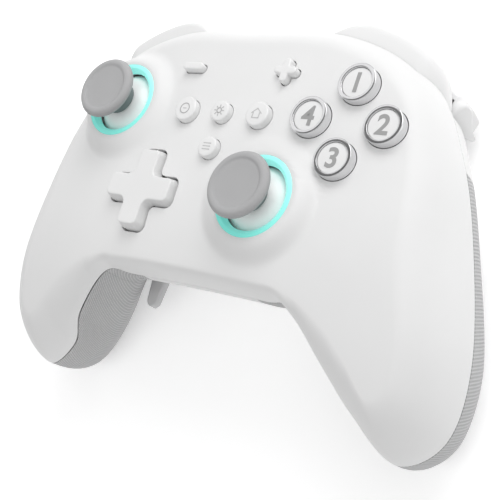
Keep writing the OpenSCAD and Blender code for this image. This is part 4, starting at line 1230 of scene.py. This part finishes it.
for text, where in zip("1234", FACE_AT):
    body = f"face_button_{where}"
    centre = face_spot(where)
    floor = face_z(*centre)
    top, stop, inner = floor + FACE_RISE, floor - WALL - 2.6, FACE_R - RIM_W
    key = key_profile(2.2, FACE_R + 1.4, 1.3, inner - 0.05, stop, top - 0.42, top - 0.3, 0.25, 6)
    rim = eased(
        [(inner, stop + 0.3), (FACE_R, stop + 0.3), (FACE_R, top), (inner, top), (inner, stop + 0.4)],
        [0, 0, 0.2, 0.12, 0], 7)
    mark = numeral(text, NUMERAL_H, centre, top - 0.3)
    piece(f"face_key_{where}", turned(key, centre, 80), white_gloss, body, [body])
    piece(f"face_band_{where}", turned(rim, centre, 96), chrome, body,
          [f"face_rim_{where}"], 40)
    piece(f"face_numeral_{where}", mark, print_grey, body, ())

# The signs of the small buttons: a ring with a bar, a sun, a house and three lines.
MARKS = {
    "left": [arc(1.55, 0, 360, 25), [(-0.5, 0), (0.5, 0)]],
    "middle": [arc(0.75, 0, 360, 17), *zip(arc(1.15, 0, 315, 8), arc(1.6, 0, 315, 8))],
    "right": [
        [(-1.6, 0.1), (0, 1.5), (1.6, 0.1)], [(-1.05, 0.2), (-1.05, -1.3), (1.05, -1.3), (1.05, 0.2)]],
    "lower": [[(-1.2, y), (1.2, y)] for y in (-0.9, 0.0, 0.9)],
}
for where, (x, y, r) in SMALL_AT.items():
    body = f"small_button_{where}"
    floor = face_z(x, y)
    top, stop = floor + SMALL_RISE, floor - WALL - GAP
    key = key_profile(1.6, r + 1.1, 1.2, r, stop, top - 0.08, top, 0.7, 8)
    mark = strokes(MARKS[where], MARK_W, (x, y), top - 0.02)
    piece(f"small_key_{where}", turned(key, (x, y), 72), white_gloss, body, [body])
    piece(f"small_mark_{where}", mark, mark_grey, body, ())

for name, x, plan, radii in (
        ("minus", -SIGN_X, bar_plan(SIGN_L, SIGN_W), [SIGN_W / 2 - 0.01] * 4),
        ("plus", SIGN_X, cross_plan(SIGN_L / 2, SIGN_W), cross_radii(SIGN_W / 2 - 0.01, 0.3))):
    body = f"{name}_button"
    centre = (x, SIGN_Y)
    floor = face_z(*centre)
    top, stop = floor + SMALL_RISE, floor - WALL - GAP
    shape = joined(
        capped(plan, radii, centre, stop - 0.6, top, 0.55, 10),
        drum(SIGN_L / 2 + 1.2, centre, stop - 1.4, stop - 0.1, 48),
        drum(1.6, centre, PLUNGER_Z, stop - 1, 32))
    piece(f"{name}_key", shape, white_gloss, body, [body])


def cross_shape():
    """The cross pad: its cross, the flange under it and the four pins that press its domes."""
    top = face_z(*CROSS_AT) + CROSS_RISE
    plan, radii = cross_plan(CROSS_L, CROSS_W), cross_radii(2.2, 1.7)
    inner, outer = 7.2, CROSS_L + 1.6
    low, high = CROSS_PIVOT - 3.6, CROSS_PIVOT - 2.4
    pins = [(CROSS_AT[0] + CROSS_PINS * c, CROSS_AT[1] + CROSS_PINS * s) for c, s in FACE_AT.values()]
    return joined(
        capped(plan, radii, CROSS_AT, CROSS_PIVOT - 3, top, 0.5, 10, CROSS_LEAN),
        turned([(inner, low), (outer, low), (outer, high), (inner, high)], CROSS_AT, 72),
        *[drum(1.5, pin, PLUNGER_Z, CROSS_PIVOT - 1, 24) for pin in pins])


pivot_room = drum(6.8, CROSS_AT, CROSS_PIVOT - 5, CROSS_PIVOT + 2.6, 48)
cross_pad = carve(solid("cross_pad", cross_shape()), [pivot_room])
finished(cross_pad, white, "dpad", ["dpad"])


# Studio: a pale floor, a sky that is bright overhead, two lamps and the camera.

FLOOR_SIZE = 20
SKY_STRENGTH = 1.37
OVERHEAD = (0.03, 0.1, 0.99)
CARD_WAY = (-0.312, 0.295, 0.903)
LAMP_AIM = (0, 0, -15)
LAMPS = {  # place in the face's frame, width in metres and power in watts
    "key_lamp": ((190, 450, 430), 0.5, 1.9),
    "fill_lamp": ((-350, 120, 420), 0.7, 0.2)}

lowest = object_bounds()[0][2]
bpy.ops.mesh.primitive_grid_add(x_subdivisions=8, y_subdivisions=8, size=FLOOR_SIZE)
ground = bpy.context.object
ground.data.transform(Matrix.Translation((0, 0, lowest)))
ground.name = "studio_floor"
ground.data.materials.append(floor_finish("floor_paper", grey(0.95), grey(0.97)))

world = bpy.data.worlds.new("studio")
bpy.context.scene.world = world
world.use_nodes = True
background = world.node_tree.nodes["Background"]
sky = Nodes(world.node_tree)
sky_way = sky.node("ShaderNodeTexCoord", output="Generated")


def sky_tone(direction, stops):
    """A grey that follows how far the sky lies towards a direction: 1 there, 0 at a right angle to it."""
    ways = {0: sky_way, 1: direction}
    near = sky.node("ShaderNodeVectorMath", {"operation": "DOT_PRODUCT"}, ways, "Value")
    return sky.node("ShaderNodeValToRGB", {"stops": [(at, grey(tone)) for at, tone in stops]}, {0: near})


# Bright overhead and dark low down, with a black card whose reflection draws the bright rims.
dome = sky_tone(OVERHEAD, ((0.0, 0.08), (0.4, 0.34), (1.0, 1.0)))
card = sky_tone(CARD_WAY, ((0.922, 1.0), (0.932, 0.02)))
times = {"data_type": "RGBA", "blend_type": "MULTIPLY"}
both = sky.node("ShaderNodeMix", times, {"Factor": 1.0, 6: dome, 7: card}, 2)
sky.join(background.inputs["Color"], both)
sky.join(background.inputs["Strength"], SKY_STRENGTH)

for name, (place, width, power) in LAMPS.items():
    bright_spot = bpy.data.lights.new(name, "AREA")
    bright_spot.shape = "DISK"
    bright_spot.size = width
    bright_spot.energy = power
    here, goal = SEAT @ Vector(place), SEAT @ Vector(LAMP_AIM)
    aim = (goal - here).to_track_quat("-Z", "Y").to_matrix().to_4x4()
    placed(name, bright_spot).matrix_world = Matrix.Translation(here) @ aim

# The photo's camera: its place in millimetres and its turns in degrees, both in the face's frame,
# then its picture in pixels and its sensor in millimetres.
EYE = (180.945, -82.567, 207.129)
EYE_TURNS = ((70.613, "Z"), (39.086, "X"), (-55.699, "Z"))
PHOTO_PX = 500.0
FOCAL_PX = 1036.444
MIDDLE_PX = (245.666, 249.335)
SENSOR = 36.0

eye = bpy.data.cameras.new("photo_camera")
eye.sensor_width = SENSOR
eye.lens = FOCAL_PX / PHOTO_PX * SENSOR
eye.shift_x = -(MIDDLE_PX[0] - PHOTO_PX / 2) / PHOTO_PX
eye.shift_y = (MIDDLE_PX[1] - PHOTO_PX / 2) / PHOTO_PX
eye.clip_start, eye.clip_end = 0.01, 20
stand = Matrix.Translation(SEAT @ Vector(EYE)) @ Matrix.Rotation(-TILT, 4, "X")
for degrees, axis in EYE_TURNS:
    stand = stand @ Matrix.Rotation(math.radians(degrees), 4, axis)
camera = placed("photo_camera", eye)
camera.matrix_world = stand
bpy.context.scene.camera = camera
bpy.context.scene.view_settings.view_transform = "Standard"
